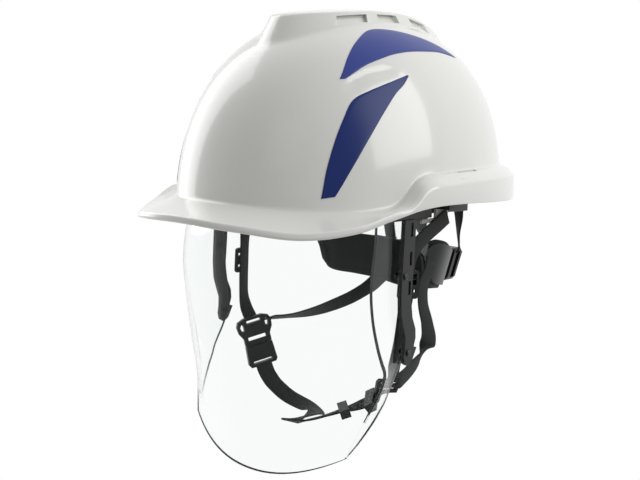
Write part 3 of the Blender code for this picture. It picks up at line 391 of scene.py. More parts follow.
def math_node(tree, kind, a, b):
    """A math node fed by sockets or numbers; gives its output."""
    node = tree.nodes.new("ShaderNodeMath")
    node.operation = kind
    for socket, value in zip(node.inputs, (a, b)):
        if hasattr(value, "node"):
            tree.links.new(value, socket)
        else:
            socket.default_value = value
    return node.outputs[0]


RIB_PITCH = 0.0016                # metres from one woven rib to the next, and between threads
THREAD_PITCH = 0.0011


def weave(name, dark, light):
    """Webbing with ribs that slant outwards on both halves, and fine threads along it, with painted shade in
    the grooves between them; UVs are in metres.
    """
    made, shader, tree = finish_material(name, light, 0.8, Sheen_Weight=0.04, Sheen_Roughness=0.5,
                                         Specular_IOR_Level=0.45)
    place = tree.nodes.new("ShaderNodeUVMap")
    place.uv_map = "along"
    split = tree.nodes.new("ShaderNodeSeparateXYZ")
    tree.links.new(place.outputs["UV"], split.inputs["Vector"])
    along, across = split.outputs["X"], math_node(tree, "ABSOLUTE", split.outputs["Y"], 0.0)
    slant = math_node(tree, "ADD", along, across)
    rib_turn = math_node(tree, "MULTIPLY", slant, 2 * math.pi / RIB_PITCH)
    ribs = math_node(tree, "SINE", rib_turn, 0.0)
    thread_turn = math_node(tree, "MULTIPLY", split.outputs["Y"], 2 * math.pi / THREAD_PITCH)
    threads = math_node(tree, "SINE", thread_turn, 0.0)
    both = math_node(tree, "MULTIPLY_ADD", threads, 0.3)
    tree.links.new(ribs, both.node.inputs[2])
    height = math_node(tree, "MULTIPLY_ADD", both, 0.3)
    height.node.inputs[2].default_value = 0.5
    bump = tree.nodes.new("ShaderNodeBump")
    bump.inputs["Strength"].default_value = 0.6
    bump.inputs["Distance"].default_value = 0.00025
    tree.links.new(height, bump.inputs["Height"])
    tree.links.new(bump.outputs["Normal"], shader.inputs["Normal"])
    # painted shade: the grooves between ribs and threads are coloured darker than the raised parts
    painted_shade_ramp(tree, shader, height, dark, light)
    return made


def lens_clear(name):
    """Clear sheet with faint smears in its gloss."""
    made, shader, tree = finish_material(name, (0.955, 0.972, 0.968), 0.02, IOR=1.22, Transmission_Weight=1.0)
    place = tree.nodes.new("ShaderNodeTexCoord")
    noise = tree.nodes.new("ShaderNodeTexNoise")
    noise.inputs["Scale"].default_value = 14.0
    reach = tree.nodes.new("ShaderNodeMapRange")
    reach.inputs["To Min"].default_value = 0.0
    reach.inputs["To Max"].default_value = 0.05
    tree.links.new(place.outputs["Object"], noise.inputs["Vector"])
    tree.links.new(noise.outputs["Fac"], reach.inputs["Value"])
    tree.links.new(reach.outputs["Result"], shader.inputs["Roughness"])
    return made


shell_white = plastic("shell_white", (0.74, 0.742, 0.71), 0.22, 0.02, 900.0,
                      Coat_Weight=0.5, Coat_Roughness=0.06)
decal_dark = plastic("decal_dark", (0.010, 0.026, 0.15), 0.3, 0.05, 1800.0, Specular_IOR_Level=0.3)
# the upper film has the same decal blue as the lower one, painted lighter as a painted sheen
decal_painted_sheen = plastic("decal_painted_sheen", (0.035, 0.058, 0.27), 0.3, 0.05, 1800.0, Specular_IOR_Level=0.35)
clear = lens_clear("lens_clear")
# dark grey painted on the lens rims and folds, standing in for the dark reflections of the polished edges
painted_edge_reflection = plastic("lens_edge_painted_reflection", (0.07, 0.08, 0.08), 0.3, 0.02)
black = plastic("hard_black", (0.009, 0.010, 0.010), 0.42, 0.25, 1500.0, Specular_IOR_Level=0.5)
black_gloss = plastic("hard_gloss", (0.008, 0.009, 0.009), 0.3, 0.05, 900.0, Specular_IOR_Level=0.6)
grey = plastic("key_grey", (0.42, 0.42, 0.40), 0.5, 0.15, 1500.0)
pad_knit = knit("pad_knit", (0.009, 0.010, 0.010), (0.032, 0.036, 0.036), 900.0)
webbing = weave("webbing", (0.005, 0.0055, 0.0055), (0.028, 0.030, 0.030))


# ================================================================== building helpers
def make(name, points, faces, finish, sharp=35, weld=True):
    """A mesh object from points in millimetres."""
    mesh = bpy.data.meshes.new(name)
    mesh.from_pydata([[c * MM for c in p] for p in points], [], faces)
    work = bmesh.new()
    work.from_mesh(mesh)
    if weld:
        bmesh.ops.remove_doubles(work, verts=work.verts, dist=1e-7)
    bmesh.ops.recalc_face_normals(work, faces=work.faces)
    work.to_mesh(mesh)
    work.free()
    mesh.shade_smooth()
    mesh.set_sharp_from_angle(angle=math.radians(sharp))
    made = bpy.data.objects.new(name, mesh)
    bpy.context.scene.collection.objects.link(made)
    mesh.materials.append(finish)
    return made


def show(made, body, slot, *replaced):
    """Attach a piece to its body, in place of CAD nodes."""
    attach(made, body)
    if replaced:
        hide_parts(*replaced)
    return made


def tube_faces(rings, count, cap=True):
    """Quads between equal rings of a skin, and its two caps."""
    faces = []
    for i in range(rings - 1):
        for k in range(count):
            n = (k + 1) % count
            faces.append((i * count + k, i * count + n, (i + 1) * count + n, (i + 1) * count + k))
    if cap:
        faces.append(tuple(range(count)))
        faces.append(tuple(range((rings - 1) * count, rings * count)))
    return faces


def combine(target, tool, operation):
    """Add a tool solid to a target or cut it out, and remove the tool."""
    step = target.modifiers.new(operation.lower(), "BOOLEAN")
    step.operation = operation
    step.solver = "EXACT"
    step.object = tool
    bpy.context.view_layer.update()
    solved = target.evaluated_get(bpy.context.evaluated_depsgraph_get())
    mesh = bpy.data.meshes.new_from_object(solved)
    target.modifiers.clear()
    target.data = mesh
    bpy.data.objects.remove(tool)


def box_solid(name, centre, size, finish):
    """A plain box from its centre and size."""
    hx, hy, hz = (s / 2 for s in size)
    x, y, z = centre
    corners = ((-1, -1), (1, -1), (1, 1), (-1, 1))
    points = [(x + a * hx, y + b * hy, z + c * hz) for c in (-1, 1) for a, b in corners]
    return make(name, points, tube_faces(2, 4), finish)


def sheet_solid(name, base, proud, rows, columns, finish, sharp):
    """Closed skin between two grids of points."""
    points = base + proud
    half = rows * columns
    faces = []
    for r in range(rows - 1):
        for c in range(columns - 1):
            i = r * columns + c
            faces.append((i, i + 1, i + 1 + columns, i + columns))
            faces.append((half + i, half + i + columns, half + i + 1 + columns, half + i + 1))
    border = [r * columns for r in range(rows)]
    border += [(rows - 1) * columns + c for c in range(1, columns)]
    border += [r * columns + columns - 1 for r in range(rows - 2, -1, -1)]
    border += [c for c in range(columns - 2, 0, -1)]
    for a, b in zip(border, border[1:] + border[:1]):
        faces.append((a, b, half + b, half + a))
    return make(name, points, faces, finish, sharp)


# ================================================================== shell
RIDGE_FILLET = 3.2                # how far the ridge's foot blends into the dome
POCKET_INSET = 3.4
CREASE = ((60.6, -75.7, 85.3), (64.3, -65.8, 91.2), (67.7, -55.0, 96.0), (71.3, -44.3, 98.4),
          (74.8, -33.0, 99.5))         # embossed line between the two films
CREASE_DEEP = 1.3
CREASE_WIDE = 3.2
TOP_STEPS = (0.08, 0.16, 0.24, 0.32, 0.4, 0.48, 0.56, 0.64, 0.72, 0.8, 0.87, 0.925)
DOME_STEPS = 46
INSIDE_STEPS = 24
SHELL_TURN = 360


def ridge_top(x, y):
    """Height of the ridge's upper face above the rim plane."""
    edge = outline_width(RIDGE_EDGE, y)
    across = min(abs(x) / max(edge, 0.001), 1.0)
    crown = RIDGE_CROWN * (1 - across * across) * min(1.0, edge / RIDGE_EDGE[0])
    return dome_height(edge, y) + table(RIDGE_RISE, y) + crown


def curve_corner(a, corner, b, steps):
    """Points of a quadratic curve from a to b that leans to the corner."""
    a, corner, b = Vector(a), Vector(corner), Vector(b)
    rows = []
    for k in range(steps + 1):
        t = k / steps
        rows.append(a * (1 - t) ** 2 + corner * 2 * t * (1 - t) + b * t * t)
    return rows


def ridge_section(angle, inset):
    """Reach and height from near the crown over the ridge's edge down to the dome."""
    way = (math.cos(angle), math.sin(angle))
    foot_reach = plan_radius(angle, *RIDGE_FOOT, RIDGE_POWER)
    edge_reach = plan_radius(angle, *RIDGE_EDGE, RIDGE_POWER)

    def top(share):
        reach = edge_reach * share
        return Vector((reach, ridge_top(way[0] * reach, way[1] * reach)))
    rows = [top(s) for s in TOP_STEPS]
    edge = top(0.9999)
    foot = Vector((foot_reach, dome_height(way[0] * foot_reach, way[1] * foot_reach)))
    out = Vector((foot_reach + RIDGE_FILLET, 0))
    out.y = dome_height(way[0] * out.x, way[1] * out.x)
    wall = foot - edge
    turn = 1.5 / wall.length
    rows += curve_corner(top(1 - 2.0 / edge_reach), edge, edge + wall * turn, 5)
    back = Vector((-POCKET_INSET * inset, 0))
    upper, lower = edge + wall * 0.24, edge + wall * 0.8
    rows += [upper, upper + back, edge + wall * 0.5 + back * 1.15, lower + back, lower]
    rows += curve_corner(foot - wall * 0.14, foot, out, 5)
    return rows


def pocket_angles():
    """Angles of the pockets' ends, for both sides, and their spans."""
    spans = []
    for low, high in POCKETS:
        ends = []
        for y in (low, high):
            x = (outline_width(RIDGE_FOOT, y) + outline_width(RIDGE_EDGE, y)) / 2
            ends.append(math.atan2(y, x))
        spans.append(tuple(ends))
        spans.append((math.pi - ends[1], math.pi - ends[0]))
    return spans


def round_corners(points, radii, steps):
    """A polyline with each inner corner replaced by a curve of a fixed number of points."""
    rows = [Vector(points[0])]
    for i in range(1, len(points) - 1):
        before, here, after = Vector(points[i - 1]), Vector(points[i]), Vector(points[i + 1])
        a, b = before - here, after - here
        cut = min(radii[i - 1], 0.45 * a.length, 0.45 * b.length)
        rows += curve_corner(here + a.normalized() * cut, here, here + b.normalized() * cut, steps)
    rows.append(Vector(points[-1]))
    return rows


def crease_drop(point):
    """How deep the embossed crease lies at a point of the dome."""
    x, y, z = abs(point[0]), point[1], point[2]
    if x < 50 or not -92 < y < -18 or not 75 < z < 112:
        return 0.0
    best, place = 1e9, 0.0
    for i in range(len(CREASE) - 1):
        a, b = Vector(CREASE[i]), Vector(CREASE[i + 1])
        t = min(max((Vector((x, y, z)) - a).dot(b - a) / (b - a).length_squared, 0.0), 1.0)
        gap = (a.lerp(b, t) - Vector((x, y, z))).length
        if gap < best:
            best, place = gap, (i + t) / (len(CREASE) - 1)
    fade = ease(place, 0.0, 0.25) * (1 - ease(place, 0.7, 1.0))
    return CREASE_DEEP * fade * math.exp(-(best / CREASE_WIDE) ** 2)


def shell_column(angle, inset):
    """Points down the shell's outside and up its inside, in one direction."""
    from_front = abs((math.degrees(angle + math.pi / 2) + 180) % 360 - 180)
    rim, foot = rim_section(angle, from_front)
    rows = ridge_section(angle, inset)
    power = upright_power(angle)
    first = math.acos(min((rows[-1].y / DOME_HEIGHT) ** (power / 2), 1.0))
    join = foot + 6.0
    last = math.acos((join / DOME_HEIGHT) ** (power / 2))
    for k in range(1, DOME_STEPS):
        height = DOME_HEIGHT * math.cos(first + (last - first) * k / DOME_STEPS) ** (2 / power)
        reach = dome_reach(height, angle)
        rows.append(Vector((reach - crease_drop(shell_point(angle, reach, height)), height)))
    inner_top = foot + 2.0
    corners = [(dome_reach(join, angle), join), (dome_reach(foot, angle), foot), *rim,
               (dome_reach(inner_top, angle, DOME_WALL), inner_top)]
    radii = (5.0, 6.0, 3.0, 1.2, 1.0, 1.0, 1.0, 1.0, 2.0, 2.0)
    rows += round_corners(corners, radii, 4)
    ceiling = DOME_HEIGHT - DOME_WALL
    low = math.acos((inner_top / ceiling) ** (power / 2))
    for k in range(1, INSIDE_STEPS):
        height = ceiling * math.cos(low * (1 - k / INSIDE_STEPS)) ** (2 / power)
        rows.append(Vector((dome_reach(height, angle, DOME_WALL), height)))
    return [shell_point(angle, r.x, r.y) for r in rows]


def fine_shell():
    """The shell as one closed skin, with its two sockets and their slots."""
    spans = pocket_angles()
    angles = [(2 * math.pi * k / SHELL_TURN - math.pi / 2) for k in range(SHELL_TURN)]
    step = math.radians(0.12)
    for low, high in spans:
        angles = [a for a in angles if min(abs(a - low), abs(a - high)) > math.radians(0.5)]
        angles += [low - step, low + step, high - step, high + step]
    angles.sort()
    columns = [shell_column(a, 1.0 if any(low < a < high for low, high in spans) else 0.0) for a in angles]
    count = len(columns[0])
    points = [p for column in columns for p in column]
    points += [(0, 0, ridge_top(0, 0)), (0, 0, DOME_HEIGHT - DOME_WALL)]
    crown, ceiling = len(points) - 2, len(points) - 1
    faces = []
    for k in range(len(columns)):
        a, b = k * count, ((k + 1) % len(columns)) * count
        faces.append((crown, a, b))
        for i in range(count - 1):
            faces.append((a + i, a + i + 1, b + i + 1, b + i))
        faces.append((a + count - 1, ceiling, b + count - 1))
    shell = make("shell_skin", points, faces, shell_white, 42)
    for side in (1, -1):
        centre = (side * SOCKET_MID[0], SOCKET_MID_Y, SOCKET_MID[1])
        combine(shell, box_solid("socket", centre, SOCKET_SIZE, shell_white), "UNION")
        size = (SLOT_SIZE[0], SLOT_SIZE[1], 60)
        combine(shell, box_solid("slot", (side * SLOT_X, SOCKET_MID_Y, 30), size, shell_white), "DIFFERENCE")
    shell.data.shade_smooth()
    shell.data.set_sharp_from_angle(angle=math.radians(42))
    return shell


show(fine_shell(), "hat", "shell_white", "shell")


# ================================================================== decals
UPPER_TOP = ((-73, 92), (-61, 106), (-48, 116.5), (-31, 125.0), (-14, 126.6), (6, 124.2), (25, 119.0),
             (41, 111.6))
UPPER_LOW = ((-70, 92.4), (-56, 100.6), (-44, 105.4), (-30, 109.6), (-14, 112.2), (2, 113.2), (20, 113.6),
             (41.8, 111.2))
LOWER_LEFT = ((-30, 96.3), (-45, 91.3), (-60, 85.6), (-72, 79.2), (-80.6, 67), (-87.7, 53), (-93.4, 36.5),
              (-96.9, 18.9))
LOWER_RIGHT = ((-28.8, 95.9), (-36, 90), (-44.6, 84), (-53, 76), (-61.5, 66.5), (-72.1, 52.4), (-82.3, 36),
               (-90.6, 20.4))


def fine_decal(name, one_edge, other_edge, side, finish):
    """Thin film on the dome, with a rounded lip."""
    first, second = spline(one_edge, 6), spline(other_edge, 6)
    across = 14
    base, proud = [], []
    for i, (a, b) in enumerate(zip(first, second)):
        for k in range(across + 1):
            y, z = a.lerp(b, k / across)
            at_lip = k in (0, across) or i in (0, len(first) - 1)
            for store, lift in ((base, 0.05), (proud, 0.32 if at_lip else 0.48)):
                p = dome_side(y, z, lift)
                store.append((side * p.x, p.y, p.z))
    return sheet_solid(name, base, proud, len(first), across + 1, finish, 60)


for side, word in ((1, "left"), (-1, "right")):
    # the upper film takes the decal blue painted lighter, a painted sheen where it faces the light
    film = fine_decal("film_upper_" + word, UPPER_TOP, UPPER_LOW, side, decal_painted_sheen)
    show(film, "hat", "decal_blue", "decal_upper_" + word)
    film = fine_decal("film_lower_" + word, LOWER_LEFT, LOWER_RIGHT, side, decal_dark)
    show(film, "hat", "decal_blue", "decal_lower_" + word)


# ================================================================== face shield
LENS_ROWS = 72
FRONT_COLUMNS = 26
PANEL_COLUMNS = 8
LENS_RIM = 0.7                    # border painted dark, a painted reflection along the polished edge
LENS_CREASE = 0.4                 # a painted dark reflection along each fold too, over the first CREASE_ROWS rows
CREASE_ROWS = 58
LENS_AXIS_Y = -40                 # the sheet's outside faces away from an upright line at this y


def lens_rows():
    """Rows of points from the left panel's rear edge round the front to the right one's."""
    folds, edges = spline(LENS_FOLD, 12), spline(LENS_EDGE, 12)
    rows = []
    shares = [r / LENS_ROWS for r in range(LENS_ROWS)] + [1 - LENS_RIM / (LENS_TOP - LENS_BOTTOM), 1.0]
    for share in shares:
        place = share * (len(folds) - 1)
        index = min(int(place), len(folds) - 2)
        fold = folds[index].lerp(folds[index + 1], place - index)
        edge = edges[index].lerp(edges[index + 1], place - index)
        height = LENS_TOP + (LENS_BOTTOM - LENS_TOP) * share
        middle = (table(LENS_MIDLINE, height), height)
        half = [edge.lerp(fold, k / PANEL_COLUMNS) for k in range(PANEL_COLUMNS)]
        half.insert(1, edge.lerp(fold, min(LENS_RIM / (fold - edge).length, 0.4 / PANEL_COLUMNS)))
        half.append(edge.lerp(fold, 1 - min(LENS_CREASE / (fold - edge).length, 0.4 / PANEL_COLUMNS)))
        for k in range(FRONT_COLUMNS + 1):
            u = 1 - k / FRONT_COLUMNS
            bend = u ** LENS_BOW
            half.append(Vector((fold.x * u, middle[0] + (fold.y - middle[0]) * bend,
                                middle[1] + (fold.z - middle[1]) * bend)))
        other = [Vector((-p.x, p.y, p.z)) for p in half[-2::-1]]
        rows.append(half + other)
    return rows


def fine_lens():
    """The clear sheet, with painted dark reflections on its rims and along its folds."""
    rows = lens_rows()
    outside, inside = [], []
    for row, line in zip(rows, row_normals(rows)):
        for point, normal in zip(row, line):
            away = normal if normal.dot(Vector((point.x, point.y - LENS_AXIS_Y, 0))) > 0 else -normal
            outside.append(tuple(point))
            inside.append(tuple(point - away * LENS_THICK))
    lens = sheet_solid("lens_sheet", inside, outside, len(rows), len(rows[0]), clear, 25)
    lens.data.materials.append(painted_edge_reflection)
    columns = len(rows[0]) - 1
    # rim faces and fold faces get the painted dark reflection
    for index, face in enumerate(lens.data.polygons):
        row, column = divmod(index // 2, columns)
        at_fold = row < CREASE_ROWS and min(column, columns - 1 - column) == PANEL_COLUMNS + 1
        if row >= len(rows) - 2 or column in (0, columns - 1) or at_fold:
            face.material_index = 1
    return lens


show(fine_lens(), "visor", "lens_clear", "visor_lens")


# ================================================================== webbing
def fine_ribbon(name, route, width, finish, thick=WEB_THICK, steps=14):
    """Flat webbing with rounded edges; its UVs run along and across it in metres."""
    fine = spline_wide(route, steps)
    edge = thick * 0.5
    half = width / 2
    section = [(-half, 0.0), (-half + edge * 0.35, -edge * 0.8), (-half + edge, -edge), (0.0, -edge),
               (half - edge, -edge), (half - edge * 0.35, -edge * 0.8), (half, 0.0),
               (half - edge * 0.35, edge * 0.8), (half - edge, edge), (0.0, edge), (-half + edge, edge),
               (-half + edge * 0.35, edge * 0.8)]
    points, lengths, travelled = [], [], 0.0
    for i, (place, side) in enumerate(fine):
        before, after = fine[max(i - 1, 0)][0], fine[min(i + 1, len(fine) - 1)][0]
        run = (after - before).normalized()
        across = (side - side.dot(run) * run).normalized()
        out = run.cross(across)
        travelled += (place - before).length
        lengths.append(travelled)
        points += [place + across * a + out * b for a, b in section]
    count = len(section)
    made = make(name, points, tube_faces(len(fine), count), finish, 50, weld=False)
    layer = made.data.uv_layers.new(name="along")
    for loop in made.data.loops:
        ring, k = divmod(loop.vertex_index, count)
        layer.data[loop.index].uv = (lengths[ring] * MM, section[k][0] * MM)
    return made


FRONT_UPPER = ((82.4, 19, 2.2, 0, 0.45, -0.89), (82.2, 9.3, -2.6, 0, 0.45, -0.89),
               (81.8, -4, -9.0, 0, 0.5, -0.86))
FRONT_LEFT = FRONT_UPPER + ((81.0, -14.5, -16.0, 0.1, 0.8, -0.6), (80.0, -20.5, -24.5, 0.3, 0.95, -0.2),
                            (79.6, -22.3, -33, 0.5, 0.866, 0), (79.6, -22.5, -49, 0.5, 0.866, 0),
                            (79.0, -23, -60, 0.3, 0.95, 0), (77.0, -24, -80, 0.2, 1, 0),
                            (73.2, -23.6, -98, 0.3, 1, -0.1), (71.0, -23, -106.6, 0.36, 0.93, -0.1))
FRONT_RIGHT = mirrored_route(FRONT_UPPER) + ((-81.0, -10.5, -15.0, 0, 0.8, -0.6),
                                             (-80.4, -14.4, -23.5, -0.1, 1, -0.2),
                                             (-80.0, -15.4, -33, -0.22, 0.97, 0),
                                             (-80.0, -15.6, -48, -0.22, 0.97, 0),
                                             (-80.0, -15.6, -60, -0.22, 0.97, 0),
                                             (-79.0, -16.0, -73, -0.2, 0.97, 0),
                                             (-75.6, -16.6, -82, 0.1, 1, 0),
                                             (-71.6, -17.6, -86.6, 0.4, 0.9, -0.1))
REAR_LEFT = ((56.6, 39, -40, 0, 1, 0), (57.2, 31, -51, 0, 1, 0.2), (59, 29, -65, 0, 1, 0.15),
             (62, 31, -79, 0.1, 1, 0.3), (66.5, 27, -90, 0.1, 0.9, 0.6), (68.5, 16, -99, 0.1, 0.7, 0.8),
             (69.8, 2, -106, 0, 0.55, 0.9), (70.8, -9.5, -110.2, 0, 0.5, 0.95))
REAR_RIGHT = ((-37, 105.5, -66, 0.1, 0.1, 1), (-46, 99, -77, 0.1, 0.1, 1), (-54, 86, -85.5, 0.1, 0.1, 1),
              (-59, 66, -90.5, 0.3, 0, 0.95), (-60.5, 45, -92.4, 0.6, 0, 0.8), (-61, 22, -92.2, 0.85, 0, 0.5),
              (-61.5, 8, -91.5, 0.9, 0, 0.4), (-62.0, -2.4, -90.6, 0.9, 0.1, 0.4))
CHIN_ROUTE = ((-58.6, -10.2, -130.6, 0.5, 0.866, -0.1), (-55.8, -8.8, -136, 0.47, 0.87, 0.05),
              (-50.8, -6.8, -141.8, 0.4, 0.88, 0.15), (-39.6, -4, -148.8, 0.25, 0.9, 0.35),
              (-22, -4, -152, 0.15, 0.9, 0.3), (-5, -11, -151, 0.48, 0.76, -0.25),
              (4, -27, -148.5, 0.8, 0.48, 0.28), (10, -47, -144.5, 0.86, 0.37, 0.34),
              (17, -64, -141.0, 0.5, 0.82, -0.28), (28, -60, -139.0, -0.61, 0.73, -0.31),
              (35, -47, -136.8, -0.78, 0.54, -0.32), (42, -36.5, -133.5, -0.6, 0.78, -0.1),
              (51, -30.5, -129, -0.35, 0.85, 0.3), (59, -27, -124.2, -0.2, 0.8, 0.5),
              (64.4, -25.2, -120.4, 0, 0.8, 0.5))
HANGER = ((36.4, 105.6, -1, 1, 0, 0), (35.6, 107.5, -10, 0.95, -0.3, 0), (34.6, 109.4, -22, 0.7, -0.7, 0),
          (34.2, 112.0, -33.4, 0.55, -0.84, 0))

# where each strap goes on inside the fitting that holds it
FRONT_LEFT_END = ((70.1, -22.6, -110.6, 0.36, 0.93, -0.1),)
FRONT_RIGHT_END = ((-68.4, -18.2, -90.2, 0.45, 0.88, -0.1),)
REAR_LEFT_START = ((55.0, 42.6, -34.6, 0, 1, -0.2),)
REAR_LEFT_END = ((70.8, -14.2, -111.4, 0, 0.5, 0.95),)
REAR_RIGHT_START = ((-29.0, 111.6, -57.0, 0.1, 0.1, 1),)
REAR_RIGHT_END = ((-61.8, -7.0, -90.9, 0.9, 0.1, 0.4),)
HANGER_START = ((41.6, 103.0, 13.0, 1, 0, 0),)
HANGER_END = ((32.6, 112.9, -36.6, 0.55, -0.84, 0),)
CHIN_START = ((-60.2, -11.9, -123.8, 0.5, 0.866, -0.1),)
CHIN_END = ((65.7, -24.3, -116.9, 0, 0.8, 0.5),)

for name, route, width in (("front_strap_left", FRONT_LEFT + FRONT_LEFT_END, WEB_NARROW),
                           ("front_strap_right", FRONT_RIGHT + FRONT_RIGHT_END, WEB_NARROW)):
    show(fine_ribbon("web_" + name, route, width, webbing), "hat", "webbing", name)
for name, start, sag in (("side", CROWN_KEY_SIDE, (0, 0)), ("rear", CROWN_KEY_REAR, REAR_STRAP_SAG)):
    route = crown_strap_route(start, (1, 0), sag)
    show(fine_ribbon("web_crown_" + name, route, CROWN_WEB_WIDE, webbing, STRAP_THICK, 8),
         "hat", "webbing", "crown_strap_" + name)

LONG_HANGER = HANGER_START + HANGER + HANGER_END
for name, route, width, body, still, carried in (
        ("rear_strap_left", REAR_LEFT_START + REAR_LEFT + REAR_LEFT_END, WEB_NARROW, "nape",
         REAR_LEFT[-1], REAR_LEFT[0]),
        ("rear_strap_right", REAR_RIGHT_START + REAR_RIGHT + REAR_RIGHT_END, WEB_NARROW, "nape",
         REAR_RIGHT[-1], REAR_RIGHT[0]),
        ("nape_hanger_left", LONG_HANGER, HANGER_WIDE, "nape", HANGER[0], HANGER[-1]),
        ("nape_hanger_right", mirrored_route(LONG_HANGER), HANGER_WIDE, "nape", mirrored_route(HANGER)[0],
         mirrored_route(HANGER)[-1]),
        ("chin_strap", CHIN_START + CHIN_ROUTE + CHIN_END, CHIN_WEB_WIDE, "tongue",
         CHIN_ROUTE[-1], CHIN_ROUTE[0])):
    web = fine_ribbon("web_" + name, route, width, webbing)
    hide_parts(name)
    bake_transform(web)


# ================================================================== pads
def pad_wall(name, path, low, high, near, thick, finish, lean=0.0, channels=()):
    """Foam pad along a plan path: flat against its backing and crowned on the head's side."""
    profile = 22
    points = []
    for i, place in enumerate(path):
        before, after = path[max(i - 1, 0)], path[min(i + 1, len(path) - 1)]
        run = Vector((after[0] - before[0], after[1] - before[1])).normalized()
        out = Vector((run.y, -run.x))
        if out.dot(Vector((place[0], place[1]))) < 0:
            out = -out
        share = i / (len(path) - 1)
        z0, z1 = low(share), high(share)
        ends = min(1.0, math.sin(math.pi * min(max(share, 0.004), 0.996)) / 0.16) ** 0.5
        middle, half = (z0 + z1) / 2, (z1 - z0) / 2 * (0.72 + 0.28 * ends)
        for k in range(profile):
            a = 2 * math.pi * k / profile
            c, s = math.cos(a), math.sin(a)
            up = math.copysign(abs(s) ** 0.42, s)
            deep = abs(c) ** 0.55
            bulge = thick * (deep if c < 0 else 0.12 * deep) * (0.35 + 0.65 * ends)
            for groove in channels:
                if c < 0:
                    bulge -= thick * 0.4 * math.exp(-((up - groove) / 0.07) ** 2)
            offset = near + thick - 0.12 * thick
            offset += -max(bulge, 0.2 * thick) if c < 0 else bulge
            z = middle + half * up
            draw = 1 - lean * (NAPE_TOP[0][1] - z)
            points.append(((place[0] + out.x * offset) * draw, (place[1] + out.y * offset) * draw, z))
    made = make(name, points, tube_faces(len(path), profile), finish, 70)
    return made


def fine_path(keys, steps):
    """A smooth plan path from the left end round to its mirrored right end."""
    right = [(-p[0], *p[1:]) for p in keys[-2::-1]]
    return [(p[0], p[1]) for p in spline(list(keys) + right, steps)]


BAND_BARE = 39                    # points at each end of the band's path that the front pad leaves bare
band = fine_path(BAND_PATH, 12)
front = band[BAND_BARE:-BAND_BARE]
show(pad_wall("sweatband_pad", front, lambda t: BAND_LOW + 3.5, lambda t: BAND_HIGH - 6.5, -SWEAT_THICK - GAP,
              SWEAT_THICK, pad_knit), "hat", "pad_dark", "sweatband")
show(pad_wall("nape_pad_cover", fine_path(NAPE_PATH, 14), nape_low, nape_top, -NAPE_PAD_THICK - 0.4,
              NAPE_PAD_THICK, pad_knit, NAPE_LEAN, (-0.45, 0.35)), "nape", "pad_dark", "nape_pad")


def crown_cushion():
    """Small crowned pad under the crossing of the crown straps."""
    low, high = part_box("crown_pad")
    centre = (low + high) / 2 / MM
    half = (high - low) / 2 / MM
    rows, turn = 14, 56
    points = []
    for r in range(rows + 1):
        a = math.pi * r / rows - math.pi / 2
        level, spread = math.sin(a), math.cos(a) ** 0.35 if 0 < r < rows else 0.0
        for k in range(turn):
            b = 2 * math.pi * k / turn
            c, s = math.cos(b), math.sin(b)
            reach = (abs(c) ** 4 + abs(s) ** 4) ** -0.25
            points.append((centre.x + half.x * c * reach * spread, centre.y + half.y * s * reach * spread,
                           centre.z + half.z * level))
    made = make("crown_pad_cover", points, tube_faces(rows + 1, turn, False), pad_knit, 70)
    return made


show(crown_cushion(), "hat", "pad_dark", "crown_pad")


# ================================================================== moulded pieces carried over
def soften(name, width, finish):
    """Rounded edges and a procedural finish on a piece of the frame."""
    piece = nodes[name]
    piece.data.materials.clear()
    piece.data.materials.append(finish)
    normals = piece.data.attributes.get("custom_normal")
    if normals:
        piece.data.attributes.remove(normals)
    piece.data.shade_smooth()
    weld = piece.modifiers.new("weld", "WELD")
    weld.merge_threshold = 2e-6
    if width:
        bevel = piece.modifiers.new("bevel", "BEVEL")
        bevel.width = width * MM
        bevel.segments = 2
        bevel.limit_method = "ANGLE"
        bevel.angle_limit = math.radians(32)
        bevel.harden_normals = True


MOULDED = {
    "visor_arm_left": (0.45, black), "visor_arm_right": (0.45, black),
    "visor_guide_left": (0.3, black), "visor_guide_right": (0.3, black),
    "headband": (0.3, black), "nape_cradle": (0.4, black),
    "nape_arm_left": (0.3, black), "nape_arm_right": (0.3, black),
    "ratchet_housing": (0.5, black), "ratchet_cover": (0.5, black_gloss), "ratchet_knob": (0.3, black),
    "ratchet_pinion": (0.15, black), "ratchet_rack_left": (0.15, black), "ratchet_rack_right": (0.15, black),
    "buckle_frame": (0.35, black), "buckle_tongue": (0.35, black), "strap_junction": (0.3, black),
    "strap_keeper_front": (0.3, black), "strap_keeper_side": (0.3, black),
    "strap_slider_left": (0.3, black), "strap_slider_right": (0.3, black),
    "suspension_key_side_left": (0.4, grey), "suspension_key_side_right": (0.4, grey),
    "suspension_key_rear_left": (0.4, grey), "suspension_key_rear_right": (0.4, grey),
    "visor_rivet_upper_left": (0.15, black_gloss), "visor_rivet_upper_right": (0.15, black_gloss),
    "visor_rivet_lower_left": (0.15, black_gloss), "visor_rivet_lower_right": (0.15, black_gloss),
}
for name, (width, finish) in MOULDED.items():
    soften(name, width, finish)


# ================================================================== studio
def lamp(name, place, aim, size, power):
    """A soft rectangular light that faces its aim."""
    light = bpy.data.lights.new(name, "AREA")
    light.shape = "RECTANGLE"
    light.size, light.size_y = size
    light.energy = power
    made = bpy.data.objects.new(name, light)
    made.location = place
    made.rotation_euler = (Vector(aim) - Vector(place)).to_track_quat("-Z", "Y").to_euler()
    bpy.context.scene.collection.objects.link(made)


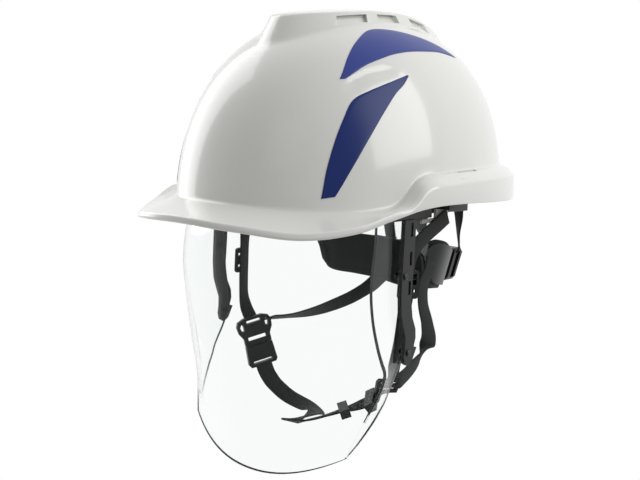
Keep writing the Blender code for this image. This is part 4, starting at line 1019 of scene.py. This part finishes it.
ROOM_DARK = 0.38                  # the studio is white behind the hat and dimmer in front of it
ROOM_WHITE = 1.0
ROOM_AIM = (-0.65, 0.76, 0.0)     # level direction from the camera's side to the white side
HAT_MIDDLE = (0, 0, 0.03)
bpy.context.scene.view_settings.view_transform = "Standard"
world = bpy.data.worlds.new("studio")
bpy.context.scene.world = world
world.use_nodes = True
tree = world.node_tree
backdrop = tree.nodes["Background"]
backdrop.inputs["Color"].default_value = (1.0, 1.0, 1.0, 1.0)
aim = tree.nodes.new("ShaderNodeTexCoord")
toward = tree.nodes.new("ShaderNodeVectorMath")
toward.operation = "DOT_PRODUCT"
toward.inputs[1].default_value = ROOM_AIM
tone = tree.nodes.new("ShaderNodeMapRange")
tone.interpolation_type = "SMOOTHSTEP"
tone.inputs["From Min"].default_value = -0.35
tone.inputs["From Max"].default_value = 0.6
tone.inputs["To Min"].default_value = ROOM_DARK
tone.inputs["To Max"].default_value = ROOM_WHITE
tree.links.new(aim.outputs["Generated"], toward.inputs[0])
tree.links.new(toward.outputs["Value"], tone.inputs["Value"])
tree.links.new(tone.outputs["Result"], backdrop.inputs["Strength"])
lamp("key", (1.35, 0.35, 0.95), HAT_MIDDLE, (1.3, 1.3), 16.0)
lamp("front", (0.35, -1.7, 0.9), (0, 0, 0), (0.9, 0.9), 0.8)
lamp("strip", (-1.1, -0.1, 0.45), HAT_MIDDLE, (0.8, 1.3), 6.5)

# camera: its place, its aim and a slight roll
EYE_AT = (0.4548, -0.5525, 0.0785)
TURN, DIP, ROLL = math.radians(40.45), math.radians(8.07), math.radians(1.92)
forward = Vector((-math.sin(TURN) * math.cos(DIP), math.cos(TURN) * math.cos(DIP), -math.sin(DIP)))
level = Vector((math.cos(TURN), math.sin(TURN), 0))
upright = level.cross(forward)
right = level * math.cos(ROLL) + upright * math.sin(ROLL)
up = upright * math.cos(ROLL) - level * math.sin(ROLL)
eye = bpy.data.cameras.new("eye")
eye.lens = 55.37
eye.sensor_width = 36.0
camera = bpy.data.objects.new("eye", eye)
camera.matrix_world = Matrix((
    (right.x, up.x, -forward.x, EYE_AT[0]),
    (right.y, up.y, -forward.y, EYE_AT[1]),
    (right.z, up.z, -forward.z, EYE_AT[2]),
    (0, 0, 0, 1)))
bpy.context.scene.collection.objects.link(camera)
bpy.context.scene.camera = camera
